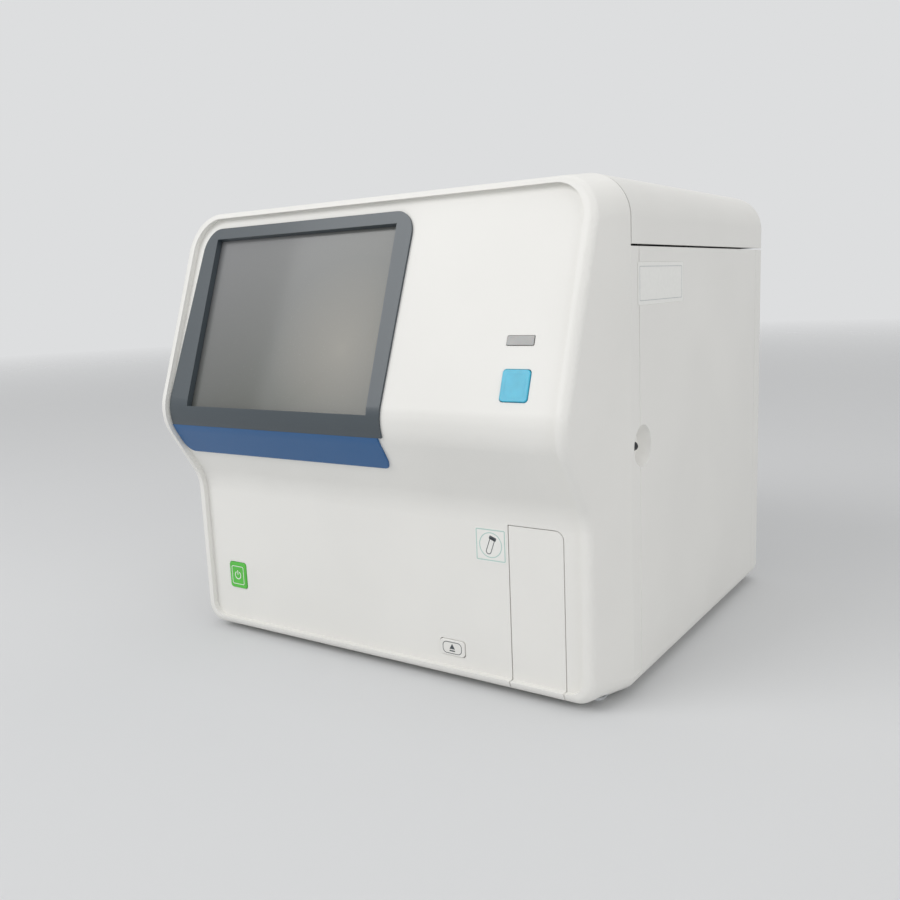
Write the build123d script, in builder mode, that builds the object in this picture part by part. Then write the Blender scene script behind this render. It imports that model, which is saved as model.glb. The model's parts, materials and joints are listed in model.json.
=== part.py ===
"""Compact bench-top hematology analyzer, in millimetres.

The frame's origin is on the table, under the middle of the box that holds the
analyzer. X points right as seen from the front, Y points to the rear, Z up.
"""

import os
from math import cos, pi, radians, sin, sqrt, tan

from build123d import *

os.makedirs("parts", exist_ok=True)

# Overall size
width = 450.0
depth = 427.0
height = 406.0
foot_height = 6.0

# Moulded covers
wall = 3.0
seam = 0.8
front_cover_depth = 84.5
side_edge_radius = 34.0
base_edge_radius = 12.0
lid_height = 52.8
lid_gap = 1.6
rear_cover_depth = 22.6
rear_edge_radius = 5.0

# Front profile: incline, nose, undercut and upright lower panel
lip_height = 5.2
nose_radius = 36.0
nose_z = 224.6
incline_tilt = 20.2
undercut_tilt = 32.0
lower_setback = 37.3
waist_radius = 45.0

# Rim round the front panel
rim_inset = 13.0
rim_top_drop = 2.0
rim_top_radius = 34.0
rim_base_radius = 20.0
rim_round = 8.0
panel_inset = 21.5
panel_top_drop = 6.5
panel_base_rise = 8.0
panel_top_radius = 28.0
panel_base_radius = 14.0

# Display, measured along the incline from the top of the nose
opening_width = 210.5
opening_height = 160.0
opening_x = -71.8
opening_t = 72.1
bezel_left = 17.0
bezel_right = 19.0
bezel_top = 10.5
bezel_corner = 21.0
bezel_proud = 2.0
bezel_depth = 6.0
bezel_skirt = 2.0
glass_thickness = 1.8
module_depth = 14.0
module_margin = 8.0
nose_split_angle = 20.0
trim_reach = 30.0
trim_corner = 10.0

# Push buttons: x, height along their panel, width, height, corner
start_x, start_t = 165.1, 19.6
start_width, start_height = 23.0, 24.0
power_x, power_z = -170.0, 57.8
power_width, power_height = 21.5, 25.5
eject_x, eject_z = 81.3, 30.2
eject_width, eject_height = 24.5, 13.5
button_corner = 3.0
button_edge = 0.6
button_proud = 1.2
button_gap = 0.5
button_travel = 2.0
flange_thick = 1.5
flange_lap = 2.0
stem_radius = 4.0
switch_wall = 3.0
switch_depth = 14.0
lamp_x, lamp_t = 164.2, 53.4
lamp_width, lamp_height = 22.5, 7.0

# Sample tube drawer
door_x = 162.6
door_width = 49.2
door_top = 142.5
door_corner = 7.5
door_gap = 0.7
door_thick = 4.0
drawer_travel = 80.0
rail_width = 24.0
rail_height = 6.0
rail_length = 150.0
slide_gap = 0.4
saddle_wall = 3.0
holder_top = 95.0
holder_width = 30.0
tube_bore = 14.0
tube_bore_depth = 60.0
tube_setback = 22.0

# Piercer above the tube
piercer_travel = 85.0
carriage_rest = 250.0
carriage_height = 18.0
needle_diameter = 2.0
needle_length = 104.0
column_y = -97.0
column_top = 300.0
column_foot = 148.0
guide_radius = 4.0
screw_radius = 3.5
motor_side = 42.0
motor_height = 34.0

# Sheet metal chassis
sheet = 2.0
frame_gap = 0.3
bulkhead_y = 40.0
deck_z = 300.0
flange = 15.0
rear_panel_y = 196.0
rear_window_margin = 48.0

# Lid hinge
hinge_round = 5.0
hinge_x = 140.0
knuckle_width = 8.0
knuckle_radius = 4.0
pin_radius = 2.0
running_gap = 0.1
lug_gap = 0.4
lug_width = 4.0
lid_opening = 70.0

# Cooling fan
fan_x, fan_z = 105.0, 220.0
fan_size = 80.0
fan_depth = 25.0
fan_blades = 7

# Places worked out from the sizes above
front_y = -depth / 2
rear_y = depth / 2
seam_y = front_y + front_cover_depth
floor_z = foot_height
plate_z = foot_height + wall
chassis_z = plate_z + sheet
lid_z = height - lid_height
side_top = lid_z - lid_gap
half = width / 2
inner = half - wall
rim_half = half - rim_inset
rim_top = height - rim_top_drop
panel_half = half - panel_inset
panel_top = height - panel_top_drop
panel_base = floor_z + panel_base_rise
nose_y = front_y + lip_height + nose_radius
lower_y = front_y + lip_height + lower_setback
tilt = radians(incline_tilt)
undercut = radians(undercut_tilt)
tube_y = lower_y + door_thick + tube_setback
rail_front = lower_y + 11.0
rail_z = chassis_z + rail_height
hinge_y = rear_y - hinge_round
hinge_z = lid_z + hinge_round

incline = Plane(
    origin=(0, nose_y - nose_radius * cos(tilt), nose_z + nose_radius * sin(tilt)),
    x_dir=(1, 0, 0),
    z_dir=(0, -cos(tilt), sin(tilt)),
)
lower_panel = Plane(origin=(0, lower_y, 0), x_dir=(1, 0, 0), z_dir=(0, -1, 0))


def across(y):
    """Upright plane at y that faces the front, drawn in X and Z."""
    return Plane(origin=(0, y, 0), x_dir=(1, 0, 0), z_dir=(0, -1, 0))


def level(z):
    """Level plane at height z."""
    return Plane.XY.offset(z)


def block(x, y, z, mode=Mode.ADD):
    """Adds the box between the two x, y and z values given."""
    with Locations(((x[0] + x[1]) / 2, (y[0] + y[1]) / 2, (z[0] + z[1]) / 2)):
        Box(x[1] - x[0], y[1] - y[0], z[1] - z[0], mode=mode)


def upright(x, y, z, radius, mode=Mode.ADD):
    """Adds an upright cylinder between the two z values given."""
    with Locations((x, y, (z[0] + z[1]) / 2)):
        Cylinder(radius, z[1] - z[0], mode=mode)


def turned(x, y, outline, mode=Mode.ADD):
    """Turns an outline of radius and height about the upright line at x, y."""
    with BuildSketch(Plane(origin=(x, y, 0), x_dir=(1, 0, 0), z_dir=(0, -1, 0))) as half_section:
        with BuildLine():
            Polyline(*outline, close=True)
        make_face()
    revolve(half_section.sketch, axis=Axis((x, y, 0), (0, 0, 1)), mode=mode)


def write(piece, name):
    """Labels a finished piece and writes its file."""
    piece.part.label = name
    export_step(piece.part, f"parts/{name}.step")


# Front profile

def profile_corners(proud):
    """Corners of the front profile, moved out by proud, from the top down."""
    radius = nose_radius + proud
    out_incline = Vector(0, -cos(tilt), sin(tilt))
    out_undercut = Vector(0, -cos(undercut), -sin(undercut))
    centre = Vector(0, nose_y, nose_z)
    nose = centre + (out_incline + out_undercut) * (radius / (1 + out_incline.dot(out_undercut)))
    tangent = centre + out_undercut * radius
    fall = (lower_y - proud - tangent.Y) / tan(undercut)
    over = height + front_cover_depth
    top = (nose.Y + (over - nose.Z) * tan(tilt), over)
    waist = (lower_y - proud, tangent.Z - fall)
    return top, (nose.Y, nose.Z), waist, (lower_y - proud, -foot_height)


def profile_y(z, proud):
    """Front profile's y at height z, moved out by proud."""
    radius = nose_radius + proud
    _, nose, waist, _ = profile_corners(proud)
    bend = waist_radius - proud
    reach = bend * tan(undercut / 2)
    if z > nose_z + radius * sin(tilt):
        return nose[0] + (z - nose[1]) * tan(tilt)
    if z > nose_z - radius * sin(undercut):
        return nose_y - sqrt(radius**2 - (z - nose_z) ** 2)
    if z > waist[1] + reach * cos(undercut):
        return waist[0] - (z - waist[1]) * tan(undercut)
    if z > waist[1] - reach:
        return waist[0] - bend + sqrt(bend**2 - (z - waist[1] + reach) ** 2)
    return waist[0]


def profile_block(proud, half_width, back=None, mode=Mode.ADD):
    """Adds what lies behind the front profile, moved out by proud."""
    corners = profile_corners(proud)
    rear = seam_y if back is None else back
    with BuildSketch(Plane.YZ) as section:
        with BuildLine():
            FilletPolyline(*corners, radius=[nose_radius + proud, waist_radius - proud])
            Polyline(corners[-1], (rear, corners[-1][1]), (rear, corners[0][1]), corners[0])
        make_face()
    extrude(section.sketch, amount=half_width, both=True, mode=mode)


def rounded_outline(half_width, low, high, low_radius, high_radius):
    """Draws an outline in X and Z with its own radii at the base and the top."""
    with Locations((0, (low + high) / 2)):
        Rectangle(2 * half_width, high - low)
    fillet(vertices().sort_by(Axis.Y)[:2], low_radius)
    fillet(vertices().sort_by(Axis.Y)[-2:], high_radius)


def flare(inset):
    """Adds the front cover's flared sides, moved in by inset, from the seam to before the nose."""
    ahead = -front_y + rim_inset
    rim_x = rim_half - inset
    low, high = floor_z + inset, height - inset
    base_r, top_r = base_edge_radius - inset, side_edge_radius - inset
    rim_low, rim_high = floor_z + inset, rim_top - inset
    rim_base_r, rim_top_r = rim_base_radius - inset, rim_top_radius - inset

    def ahead_of(back_x, back_z, rim_point_x, rim_point_z):
        share = (seam_y - profile_y(rim_point_z, lip_height - inset)) / (ahead + seam_y)
        return back_x + (rim_point_x - back_x) / share, back_z + (rim_point_z - back_z) / share

    def corner(start, centre_z, radius, rim_centre_z, rim_radius):
        points = []
        for step in range(7):
            turn = radians(start + 15 * step)
            points.append(
                ahead_of(
                    half - inset - radius + radius * cos(turn),
                    centre_z + radius * sin(turn),
                    rim_x - rim_radius + rim_radius * cos(turn),
                    rim_centre_z + rim_radius * sin(turn),
                )
            )
        return points

    side = []
    for step in range(25):
        share = step / 24
        side.append(
            ahead_of(
                half - inset,
                low + base_r + (high - top_r - low - base_r) * share,
                rim_x,
                rim_low + rim_base_r + (rim_high - rim_top_r - rim_low - rim_base_r) * share,
            )
        )
    base_corner = corner(-90, low + base_r, base_r, rim_low + rim_base_r, rim_base_r)
    top_corner = corner(0, high - top_r, top_r, rim_high - rim_top_r, rim_top_r)
    with BuildSketch(across(seam_y)) as back:
        with BuildLine():
            Line((0, low), (half - inset - base_r, low))
            CenterArc((half - inset - base_r, low + base_r), base_r, -90, 90)
            Line((half - inset, low + base_r), (half - inset, high - top_r))
            CenterArc((half - inset - top_r, high - top_r), top_r, 0, 90)
            Polyline((half - inset - top_r, high), (0, high), (0, low))
        make_face()
    with BuildSketch(across(-ahead)) as front:
        with BuildLine():
            Line((0, base_corner[0][1]), base_corner[0])
            Spline(*base_corner)
            Spline(*side)
            Spline(*top_corner)
            Polyline(top_corner[-1], (0, top_corner[-1][1]), (0, base_corner[0][1]))
        make_face()
    loft([back.sketch, front.sketch], ruled=True)
    mirror(about=Plane.YZ)


def on_rim(edge):
    """True for an edge round the front profile's skin, and not for one across it."""
    points = [edge.position_at(share) for share in (0.1, 0.5, 0.9)]
    across_front = edge.length > width / 2 and panel_base < points[1].Z < panel_top
    return not across_front and all(abs(point.Y - profile_y(point.Z, lip_height)) < 0.02 for point in points)


def panel_hole(plane, x, y, hole_width, hole_height, corner):
    """Cuts a rounded hole through the front panel."""
    with BuildSketch(plane.offset(lip_height)) as hole:
        with Locations((x, y)):
            RectangleRounded(hole_width, hole_height, corner)
    extrude(hole.sketch, amount=-(lip_height + 2 * wall), mode=Mode.SUBTRACT)


# Front cover's outer form, with the sunk panel inside its rim

with BuildPart() as flared:
    flare(0)

with BuildPart() as flared_inside:
    flare(wall)

with BuildPart() as sunk_panel:
    with BuildSketch(across(seam_y)):
        rounded_outline(panel_half, panel_base, panel_top, panel_base_radius, panel_top_radius)
    extrude(amount=front_cover_depth + lip_height)
    profile_block(0, width, back=rear_y, mode=Mode.SUBTRACT)

with BuildPart() as front_form:
    profile_block(lip_height, width)
    add(flared.part, mode=Mode.INTERSECT)
    fillet(edges().filter_by(on_rim), rim_round)
    add(sunk_panel.part, mode=Mode.SUBTRACT)

with BuildPart() as hollow:
    profile_block(-wall, width)
    add(flared_inside.part, mode=Mode.INTERSECT)

with BuildPart() as door_space:
    with BuildSketch(across(lower_y + door_thick + button_gap)):
        with Locations((door_x, (door_top - foot_height) / 2)):
            Rectangle(door_width, door_top + foot_height)
        fillet(vertices().sort_by(Axis.Y)[-2:].sort_by(Axis.X)[-1], door_corner)
    extrude(amount=front_cover_depth)

# Screw well in the right side panel, and the screw that holds the front cover
well_y, well_z = seam_y + 21.0, 200.0
well_radius = 16.5
well_depth = 10.0
well_taper = 24.0
screw_x = half - 6.5
cover_screw_radius = 2.0
screw_head_radius = 3.6
screw_boss_radius = 5.0

with BuildPart() as front_cover:
    add(front_form.part)
    add(hollow.part, mode=Mode.SUBTRACT)
    panel_hole(
        incline,
        opening_x,
        opening_t,
        opening_width + 2 * (bezel_skirt + button_gap),
        opening_height + 2 * (bezel_skirt + button_gap),
        button_corner,
    )
    panel_hole(
        incline, start_x, start_t, start_width + 2 * button_gap, start_height + 2 * button_gap, button_corner
    )
    panel_hole(
        incline, lamp_x, lamp_t, lamp_width + 2 * button_gap, lamp_height + 2 * button_gap, 1.0
    )
    panel_hole(
        lower_panel,
        power_x,
        power_z,
        power_width + 2 * button_gap,
        power_height + 2 * button_gap,
        button_corner,
    )
    panel_hole(
        lower_panel,
        eject_x,
        eject_z,
        eject_width + 2 * button_gap,
        eject_height + 2 * button_gap,
        button_corner,
    )
    add(door_space.part, mode=Mode.SUBTRACT)
    with BuildSketch(across(seam_y)):
        with Locations((screw_x, well_z)):
            Circle(screw_boss_radius)
            Rectangle(2 * screw_boss_radius, 2 * screw_boss_radius, align=(Align.MIN, Align.CENTER))
    extrude(amount=front_cover_depth / 5)
    add(flared.part, mode=Mode.INTERSECT)
    with BuildSketch(across(seam_y)):
        with Locations((screw_x, well_z)):
            Circle(cover_screw_radius)
    extrude(amount=front_cover_depth / 5, mode=Mode.SUBTRACT)
write(front_cover, "front_cover")

# Display: bezel that rolls over the nose, glass, panel module, blue trim under the nose

with BuildPart() as nose_skin:
    profile_block(bezel_proud, width / 2, back=0)
    profile_block(0, width, back=rear_y, mode=Mode.SUBTRACT)

nose_cut = Plane(
    origin=(0, nose_y, nose_z),
    x_dir=(1, 0, 0),
    z_dir=(0, -sin(radians(nose_split_angle)), cos(radians(nose_split_angle))),
)
bezel_x = (opening_x - opening_width / 2 - bezel_left, opening_x + opening_width / 2 + bezel_right)
bezel_t = opening_t + opening_height / 2 + bezel_top
nose_x = -panel_half + 1.5

with BuildPart() as display_bezel:
    with BuildSketch(incline):
        with BuildLine():
            Polyline(
                (nose_x, -nose_radius),
                (bezel_x[1], -nose_radius),
                (bezel_x[1], bezel_t),
                (bezel_x[0], bezel_t),
                (bezel_x[0], 0),
                (nose_x, 0),
                close=True,
            )
        make_face()
        fillet(vertices().sort_by(Axis.Y)[-2:], bezel_corner)
    extrude(amount=nose_radius, both=True)
    add(nose_skin.part, mode=Mode.INTERSECT)
    split(bisect_by=nose_cut, keep=Keep.TOP)
    with BuildSketch(incline.offset(bezel_proud - bezel_depth)):
        with Locations((opening_x, opening_t)):
            RectangleRounded(opening_width + 2 * bezel_skirt, opening_height + 2 * bezel_skirt, button_corner)
    extrude(amount=bezel_depth - bezel_proud)
    with BuildSketch(incline.offset(-bezel_depth)):
        with Locations((opening_x, opening_t)):
            Rectangle(opening_width, opening_height)
    extrude(amount=2 * bezel_depth, mode=Mode.SUBTRACT)
write(display_bezel, "display_bezel")

with BuildPart() as display_glass:
    with BuildSketch(incline.offset(bezel_proud - bezel_depth)):
        with Locations((opening_x, opening_t)):
            RectangleRounded(opening_width + 2 * bezel_skirt, opening_height + 2 * bezel_skirt, button_corner)
    extrude(amount=-glass_thickness)
write(display_glass, "display_glass")

module_front = bezel_proud - bezel_depth - glass_thickness
with BuildPart() as display_module:
    with BuildSketch(incline.offset(module_front)):
        with Locations((opening_x, opening_t)):
            RectangleRounded(opening_width + module_margin, opening_height + module_margin, button_corner)
    extrude(amount=-module_depth * 0.6)
    with BuildSketch(incline.offset(module_front - module_depth * 0.6)):
        with Locations((opening_x, opening_t)):
            with GridLocations(opening_width * 0.48, opening_height * 0.48, 2, 2):
                Rectangle(opening_width * 0.42, opening_height * 0.4)
    extrude(amount=-module_depth * 0.4)
write(display_module, "display_module")

trim_low = nose_z - (nose_radius + bezel_proud) * sin(undercut) - trim_reach * cos(undercut)
with BuildPart() as nose_trim:
    with BuildSketch(across(0)):
        with BuildLine():
            Polyline(
                (nose_x, nose_z), (bezel_x[1] - 6, nose_z), (bezel_x[1] - 6, trim_low), (nose_x, trim_low), close=True
            )
        make_face()
        fillet(vertices().sort_by(Axis.Y)[:2], trim_corner)
    extrude(amount=depth)
    add(nose_skin.part, mode=Mode.INTERSECT)
    split(bisect_by=nose_cut, keep=Keep.BOTTOM)
write(nose_trim, "nose_trim")


# Push buttons and the switch bodies clipped behind them

def slab(plane, x, y, slab_width, slab_height, front, back, corner=0.01, mode=Mode.ADD):
    """Adds a rounded slab between two distances in front of a plane."""
    with BuildSketch(plane.offset(front)) as outline:
        with Locations((x, y)):
            RectangleRounded(slab_width, slab_height, corner)
    extrude(outline.sketch, amount=back - front, mode=mode)


def stub(plane, x, y, radius, front, back, mode=Mode.ADD):
    """Adds a round stub between two distances in front of a plane."""
    with BuildSketch(plane.offset(front)) as outline:
        with Locations((x, y)):
            Circle(radius)
    extrude(outline.sketch, amount=back - front, mode=mode)


def button(plane, x, y, cap_width, cap_height):
    """Adds a cap that stands proud of its panel, its flange and its stem."""
    back = wall + slide_gap
    lap = 2 * flange_lap
    slab(plane, x, y, cap_width, cap_height, button_proud, -back, button_corner)
    fillet(edges().group_by(Axis(plane.origin, plane.z_dir))[-1], button_edge)
    slab(plane, x, y, cap_width + lap, cap_height + lap, -back, -back - flange_thick, button_corner)
    stub(plane, x, y, stem_radius, -back - flange_thick, -switch_depth)


def switch_body(plane, x, y, cap_width, cap_height):
    """Adds the open cup behind a button that guides its flange and stem."""
    room = slide_gap + flange_thick + button_travel + slide_gap
    inside = 2 * (flange_lap + button_gap)
    outside = inside + 2 * switch_wall
    back = -wall - switch_depth
    slab(plane, x, y, cap_width + outside, cap_height + outside, -wall, back, button_corner)
    slab(plane, x, y, cap_width + inside, cap_height + inside, -wall, -wall - room, button_corner, Mode.SUBTRACT)
    stub(plane, x, y, stem_radius + slide_gap, -wall, back, Mode.SUBTRACT)
    for side in (-1, 1):
        for row in (-1, 1):
            slab(plane, x + side * cap_width * 0.4, y + row * 3.0, 1.0, 2.5, back, back - 5.0, 0.2)


with BuildPart() as start_button:
    button(incline, start_x, start_t, start_width, start_height)
write(start_button, "start_button")

with BuildPart() as power_button:
    button(lower_panel, power_x, power_z, power_width, power_height)
write(power_button, "power_button")

with BuildPart() as eject_button:
    button(lower_panel, eject_x, eject_z, eject_width, eject_height)
write(eject_button, "eject_button")

with BuildPart() as switch_bodies:
    switch_body(incline, start_x, start_t, start_width, start_height)
    switch_body(lower_panel, power_x, power_z, power_width, power_height)
    switch_body(lower_panel, eject_x, eject_z, eject_width, eject_height)
write(switch_bodies, "switch_bodies")

with BuildPart() as status_lens:
    with BuildSketch(incline.offset(button_proud / 2)):
        with Locations((lamp_x, lamp_t)):
            RectangleRounded(lamp_width, lamp_height, 1.0)
    extrude(amount=-(button_proud / 2 + wall))
    with BuildSketch(incline.offset(-wall)):
        with Locations((lamp_x, lamp_t)):
            Rectangle(lamp_width + 2 * flange_lap, lamp_height + 2 * flange_lap)
    extrude(amount=-flange_thick)
write(status_lens, "status_lens")

# Sample tube drawer: door, carriage, tube holder and the rail that they run on

with BuildPart() as tube_door:
    add(front_form.part)
    with BuildSketch(across(lower_y + door_thick)):
        with Locations((door_x, (door_top - foot_height) / 2 - door_gap)):
            Rectangle(door_width - 2 * door_gap, door_top + foot_height)
        fillet(vertices().sort_by(Axis.Y)[-2:].sort_by(Axis.X)[-1], door_corner - door_gap)
    extrude(amount=front_cover_depth, mode=Mode.INTERSECT)
write(tube_door, "tube_door")

door_back = lower_y + door_thick
saddle_half = rail_width / 2 + slide_gap + saddle_wall
saddle_top = rail_z + slide_gap + saddle_wall
with BuildPart() as drawer_rail:
    block(
        (door_x - rail_width / 2, door_x + rail_width / 2),
        (rail_front, rail_front + rail_length),
        (chassis_z, rail_z),
    )
    block(
        (door_x - rail_width / 4, door_x + rail_width / 4),
        (rail_front, rail_front + rail_length),
        (chassis_z + rail_height / 2, rail_z),
        Mode.SUBTRACT,
    )
    with Locations((door_x, rail_front + rail_length / 2, chassis_z)):
        with GridLocations(0, rail_length * 0.7, 1, 3):
            Cylinder(1.6, 2 * rail_height, mode=Mode.SUBTRACT)
write(drawer_rail, "drawer_rail")

carriage_length = rail_length - 25.0
with BuildPart() as drawer_carriage:
    block(
        (door_x - saddle_half, door_x + saddle_half),
        (door_back, door_back + carriage_length),
        (rail_z + slide_gap, saddle_top),
    )
    for side in (-1, 1):
        block(
            (door_x + side * saddle_half - saddle_wall / 2 * (1 + side), door_x + side * saddle_half + saddle_wall / 2 * (1 - side)),
            (rail_front, door_back + carriage_length),
            (chassis_z + slide_gap, saddle_top),
        )
    block(
        (door_x - saddle_half, door_x + saddle_half),
        (door_back, door_back + saddle_wall),
        (rail_z + slide_gap, holder_top - 20),
    )
    block(
        (door_x - saddle_wall, door_x + saddle_wall),
        (door_back + saddle_wall + 50, door_back + carriage_length - 10),
        (saddle_top, saddle_top + 5),
    )
write(drawer_carriage, "drawer_carriage")

with BuildPart() as tube_holder:
    with BuildSketch(level(saddle_top)):
        with Locations((door_x, tube_y)):
            RectangleRounded(holder_width, holder_width, 4.0)
    extrude(amount=14.0)
    upright(door_x, tube_y, (saddle_top + 14.0, holder_top), tube_bore / 2 + 4.5)
    upright(door_x, tube_y, (holder_top - tube_bore_depth, holder_top), tube_bore / 2, Mode.SUBTRACT)
    chamfer(edges().filter_by(GeomType.CIRCLE).group_by(Axis.Z)[-1].sort_by(SortBy.RADIUS)[0], 1.0)
write(tube_holder, "tube_holder")

# Piercer: column with guide rod, lead screw, motor, carriage, needle and rinse cup
rod_x = door_x - 16.0
screw_axis_x = door_x + 14.0
drive_y = column_y - 17.0
arm_front = tube_y - 6.0
with BuildPart() as piercer_column:
    block((door_x - 30, door_x + 30), (column_y, column_y + wall), (chassis_z, column_top + wall))
    block((door_x - 20, door_x + 20), (column_y, column_y + wall), (chassis_z, chassis_z + 30), Mode.SUBTRACT)
    block((door_x - 30, door_x - 20), (column_y + wall, column_y + flange), (chassis_z, chassis_z + wall))
    block((door_x + 20, door_x + 30), (column_y + wall, column_y + flange), (chassis_z, chassis_z + wall))
    block((door_x - 30, door_x + 36), (drive_y - 22, column_y), (column_top, column_top + wall))
    block((door_x - 30, door_x + 30), (drive_y - 11, column_y), (column_foot, column_foot + 5))
    upright(rod_x, drive_y, (column_foot, column_top), guide_radius)
    upright(screw_axis_x, drive_y, (column_foot - 1, column_top + 4), screw_radius + slide_gap, Mode.SUBTRACT)
write(piercer_column, "piercer_column")

with BuildPart() as piercer_screw:
    upright(screw_axis_x, drive_y, (column_foot - 2, column_top + wall + 5), screw_radius)
write(piercer_screw, "piercer_screw")

with BuildPart() as piercer_carriage:
    with BuildSketch(level(carriage_rest)):
        with BuildLine():
            Polyline(
                (door_x - 26, drive_y + 9),
                (door_x - 26, drive_y - 9),
                (door_x - 7, arm_front),
                (door_x + 7, arm_front),
                (door_x + 24, drive_y - 9),
                (door_x + 24, drive_y + 9),
                close=True,
            )
        make_face()
    extrude(amount=carriage_height)
    upright(rod_x, drive_y, (carriage_rest, carriage_rest + carriage_height), guide_radius + slide_gap, Mode.SUBTRACT)
    upright(
        screw_axis_x, drive_y, (carriage_rest, carriage_rest + carriage_height), screw_radius + slide_gap, Mode.SUBTRACT
    )
    upright(door_x, tube_y, (carriage_rest, carriage_rest + carriage_height), needle_diameter / 2, Mode.SUBTRACT)
write(piercer_carriage, "piercer_carriage")

needle_tip = carriage_rest - needle_length
with BuildPart() as sample_needle:
    upright(door_x, tube_y, (needle_tip + 6, carriage_rest + carriage_height + 10), needle_diameter / 2)
    with Locations((door_x, tube_y, needle_tip + 3)):
        Cone(0.3, needle_diameter / 2, 6)
    upright(door_x, tube_y, (carriage_rest + carriage_height, carriage_rest + carriage_height + 8), 3.5)
write(sample_needle, "sample_needle")

with BuildPart() as rinse_cup:
    upright(door_x, tube_y, (column_foot - 3, column_foot + 11), 7.0)
    block((door_x - 4, door_x + 4), (tube_y + 3, drive_y - 11), (column_foot, column_foot + 5))
    upright(door_x, tube_y, (column_foot - 3, column_foot + 11), needle_diameter / 2 + 1.0, Mode.SUBTRACT)
write(rinse_cup, "rinse_cup")

# Side panels; the right one holds the dished well for the cover screw

panel_front = seam_y + seam
panel_rear = rear_y - rear_cover_depth - seam
step_y = seam_y + 16.0
step_depth = 0.4


def side_panel():
    """Adds the right side panel: an upright sheet turned in under the chassis."""
    with BuildSketch(across(panel_rear)) as section:
        with BuildLine():
            Polyline(
                (half - 2 * base_edge_radius, floor_z),
                (half, floor_z),
                (half, side_top),
                (inner, side_top),
                (inner, plate_z),
                (half - 2 * base_edge_radius, plate_z),
                close=True,
            )
        make_face()
        fillet(vertices().group_by(Axis.Y)[0].sort_by(Axis.X)[-1], base_edge_radius)
        fillet(vertices().group_by(Axis.X)[-2].sort_by(Axis.Y)[0], base_edge_radius - wall)
    extrude(section.sketch, amount=panel_rear - panel_front)
    block((half - step_depth, half + wall), (panel_front - wall, step_y), (floor_z + base_edge_radius, height), Mode.SUBTRACT)


well_plane = Plane(origin=(half, well_y, well_z), x_dir=(0, 1, 0), z_dir=(-1, 0, 0))
with BuildPart() as right_side_panel:
    side_panel()
    with BuildSketch(well_plane.offset(wall - 0.5)):
        Circle(well_radius + 1.8)
    extrude(amount=well_depth, taper=well_taper)
    with BuildSketch(well_plane):
        Circle(well_radius)
    extrude(amount=well_depth, taper=well_taper, mode=Mode.SUBTRACT)
    with BuildSketch(across(well_y)):
        with Locations((screw_x, well_z)):
            Circle(screw_head_radius + button_gap)
    extrude(amount=well_y - panel_front + wall, mode=Mode.SUBTRACT)
write(right_side_panel, "right_side_panel")

with BuildPart() as left_panel_form:
    side_panel()

with BuildPart() as left_side_panel:
    add(left_panel_form.part.mirror(Plane.YZ))
write(left_side_panel, "left_side_panel")

with BuildPart() as cover_screw:
    with BuildSketch(across(well_y - 3)):
        with Locations((screw_x, well_z)):
            Circle(screw_head_radius)
    extrude(amount=well_y - 3 - seam_y)
    with BuildSketch(across(seam_y)):
        with Locations((screw_x, well_z)):
            Circle(cover_screw_radius)
    extrude(amount=front_cover_depth / 6)
write(cover_screw, "cover_screw")

# Rear cover, a ring round the recessed rear panel
window_x = half - rear_window_margin
window_z = (floor_z + rear_window_margin / 1.5, side_top - rear_window_margin)
with BuildPart() as rear_cover:
    with BuildSketch(across(rear_y)):
        with BuildLine():
            Polyline((-half, floor_z), (half, floor_z), (half, side_top), (-half, side_top), close=True)
        make_face()
        fillet(vertices().sort_by(Axis.Y)[:2], base_edge_radius)
    extrude(amount=rear_cover_depth)
    fillet(edges().group_by(Axis.Y)[-1].filter_by(lambda e: abs(e.position_at(0.5).Z - side_top) > 1), rear_edge_radius)
    with BuildSketch(across(rear_y - wall)):
        with BuildLine():
            Polyline((-inner, plate_z), (inner, plate_z), (inner, height), (-inner, height), close=True)
        make_face()
        fillet(vertices().sort_by(Axis.Y)[:2], base_edge_radius - wall)
    extrude(amount=rear_cover_depth, mode=Mode.SUBTRACT)
    with BuildSketch(across(rear_y - wall)):
        with Locations((0, (window_z[0] + window_z[1]) / 2)):
            RectangleRounded(2 * (window_x + wall), window_z[1] - window_z[0] + 2 * wall, 8.0)
    extrude(amount=rear_y - wall - rear_panel_y - sheet)
    with BuildSketch(across(rear_y + 1)):
        with Locations((0, (window_z[0] + window_z[1]) / 2)):
            RectangleRounded(2 * window_x, window_z[1] - window_z[0], 6.0)
    extrude(amount=rear_cover_depth, mode=Mode.SUBTRACT)
write(rear_cover, "rear_cover")

# Base plate, feet and foot screws
foot_x = half - 50.0
foot_front = seam_y + 30.0
foot_rear = rear_y - 48.0
foot_radius = 16.0
plate_front = door_back + 2.0
with BuildPart() as base_plate:
    with BuildSketch(level(plate_z)):
        with Locations((0, (plate_front + rear_y - wall - 2) / 2)):
            RectangleRounded(2 * (half - base_edge_radius), rear_y - wall - 2 - plate_front, 6.0)
    extrude(amount=sheet)
    for x in (-foot_x, foot_x):
        for y in (foot_front, foot_rear):
            upright(x, y, (plate_z - 1, chassis_z + 1), 2.6, Mode.SUBTRACT)
    with Locations((0, -40, plate_z)):
        with GridLocations(12, 30, 9, 2):
            Box(5, 22, 4 * sheet, mode=Mode.SUBTRACT)
write(base_plate, "base_plate")

with BuildPart() as rubber_feet:
    for x in (-foot_x, foot_x):
        for y in (foot_front, foot_rear):
            turned(
                x,
                y,
                [(3.0, 3.0), (8.0, 3.0), (8.0, 0), (foot_radius - 2, 0), (foot_radius, 2.0), (foot_radius - 1, plate_z), (3.0, plate_z)],
            )
write(rubber_feet, "rubber_feet")

with BuildPart() as foot_screws:
    for x in (-foot_x, foot_x):
        for y in (foot_front, foot_rear):
            turned(
                x, y, [(0, 0.8), (5.5, 0.8), (5.5, 3.0), (2.5, 3.0), (2.5, chassis_z), (0, chassis_z)]
            )
write(foot_screws, "foot_screws")

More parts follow.
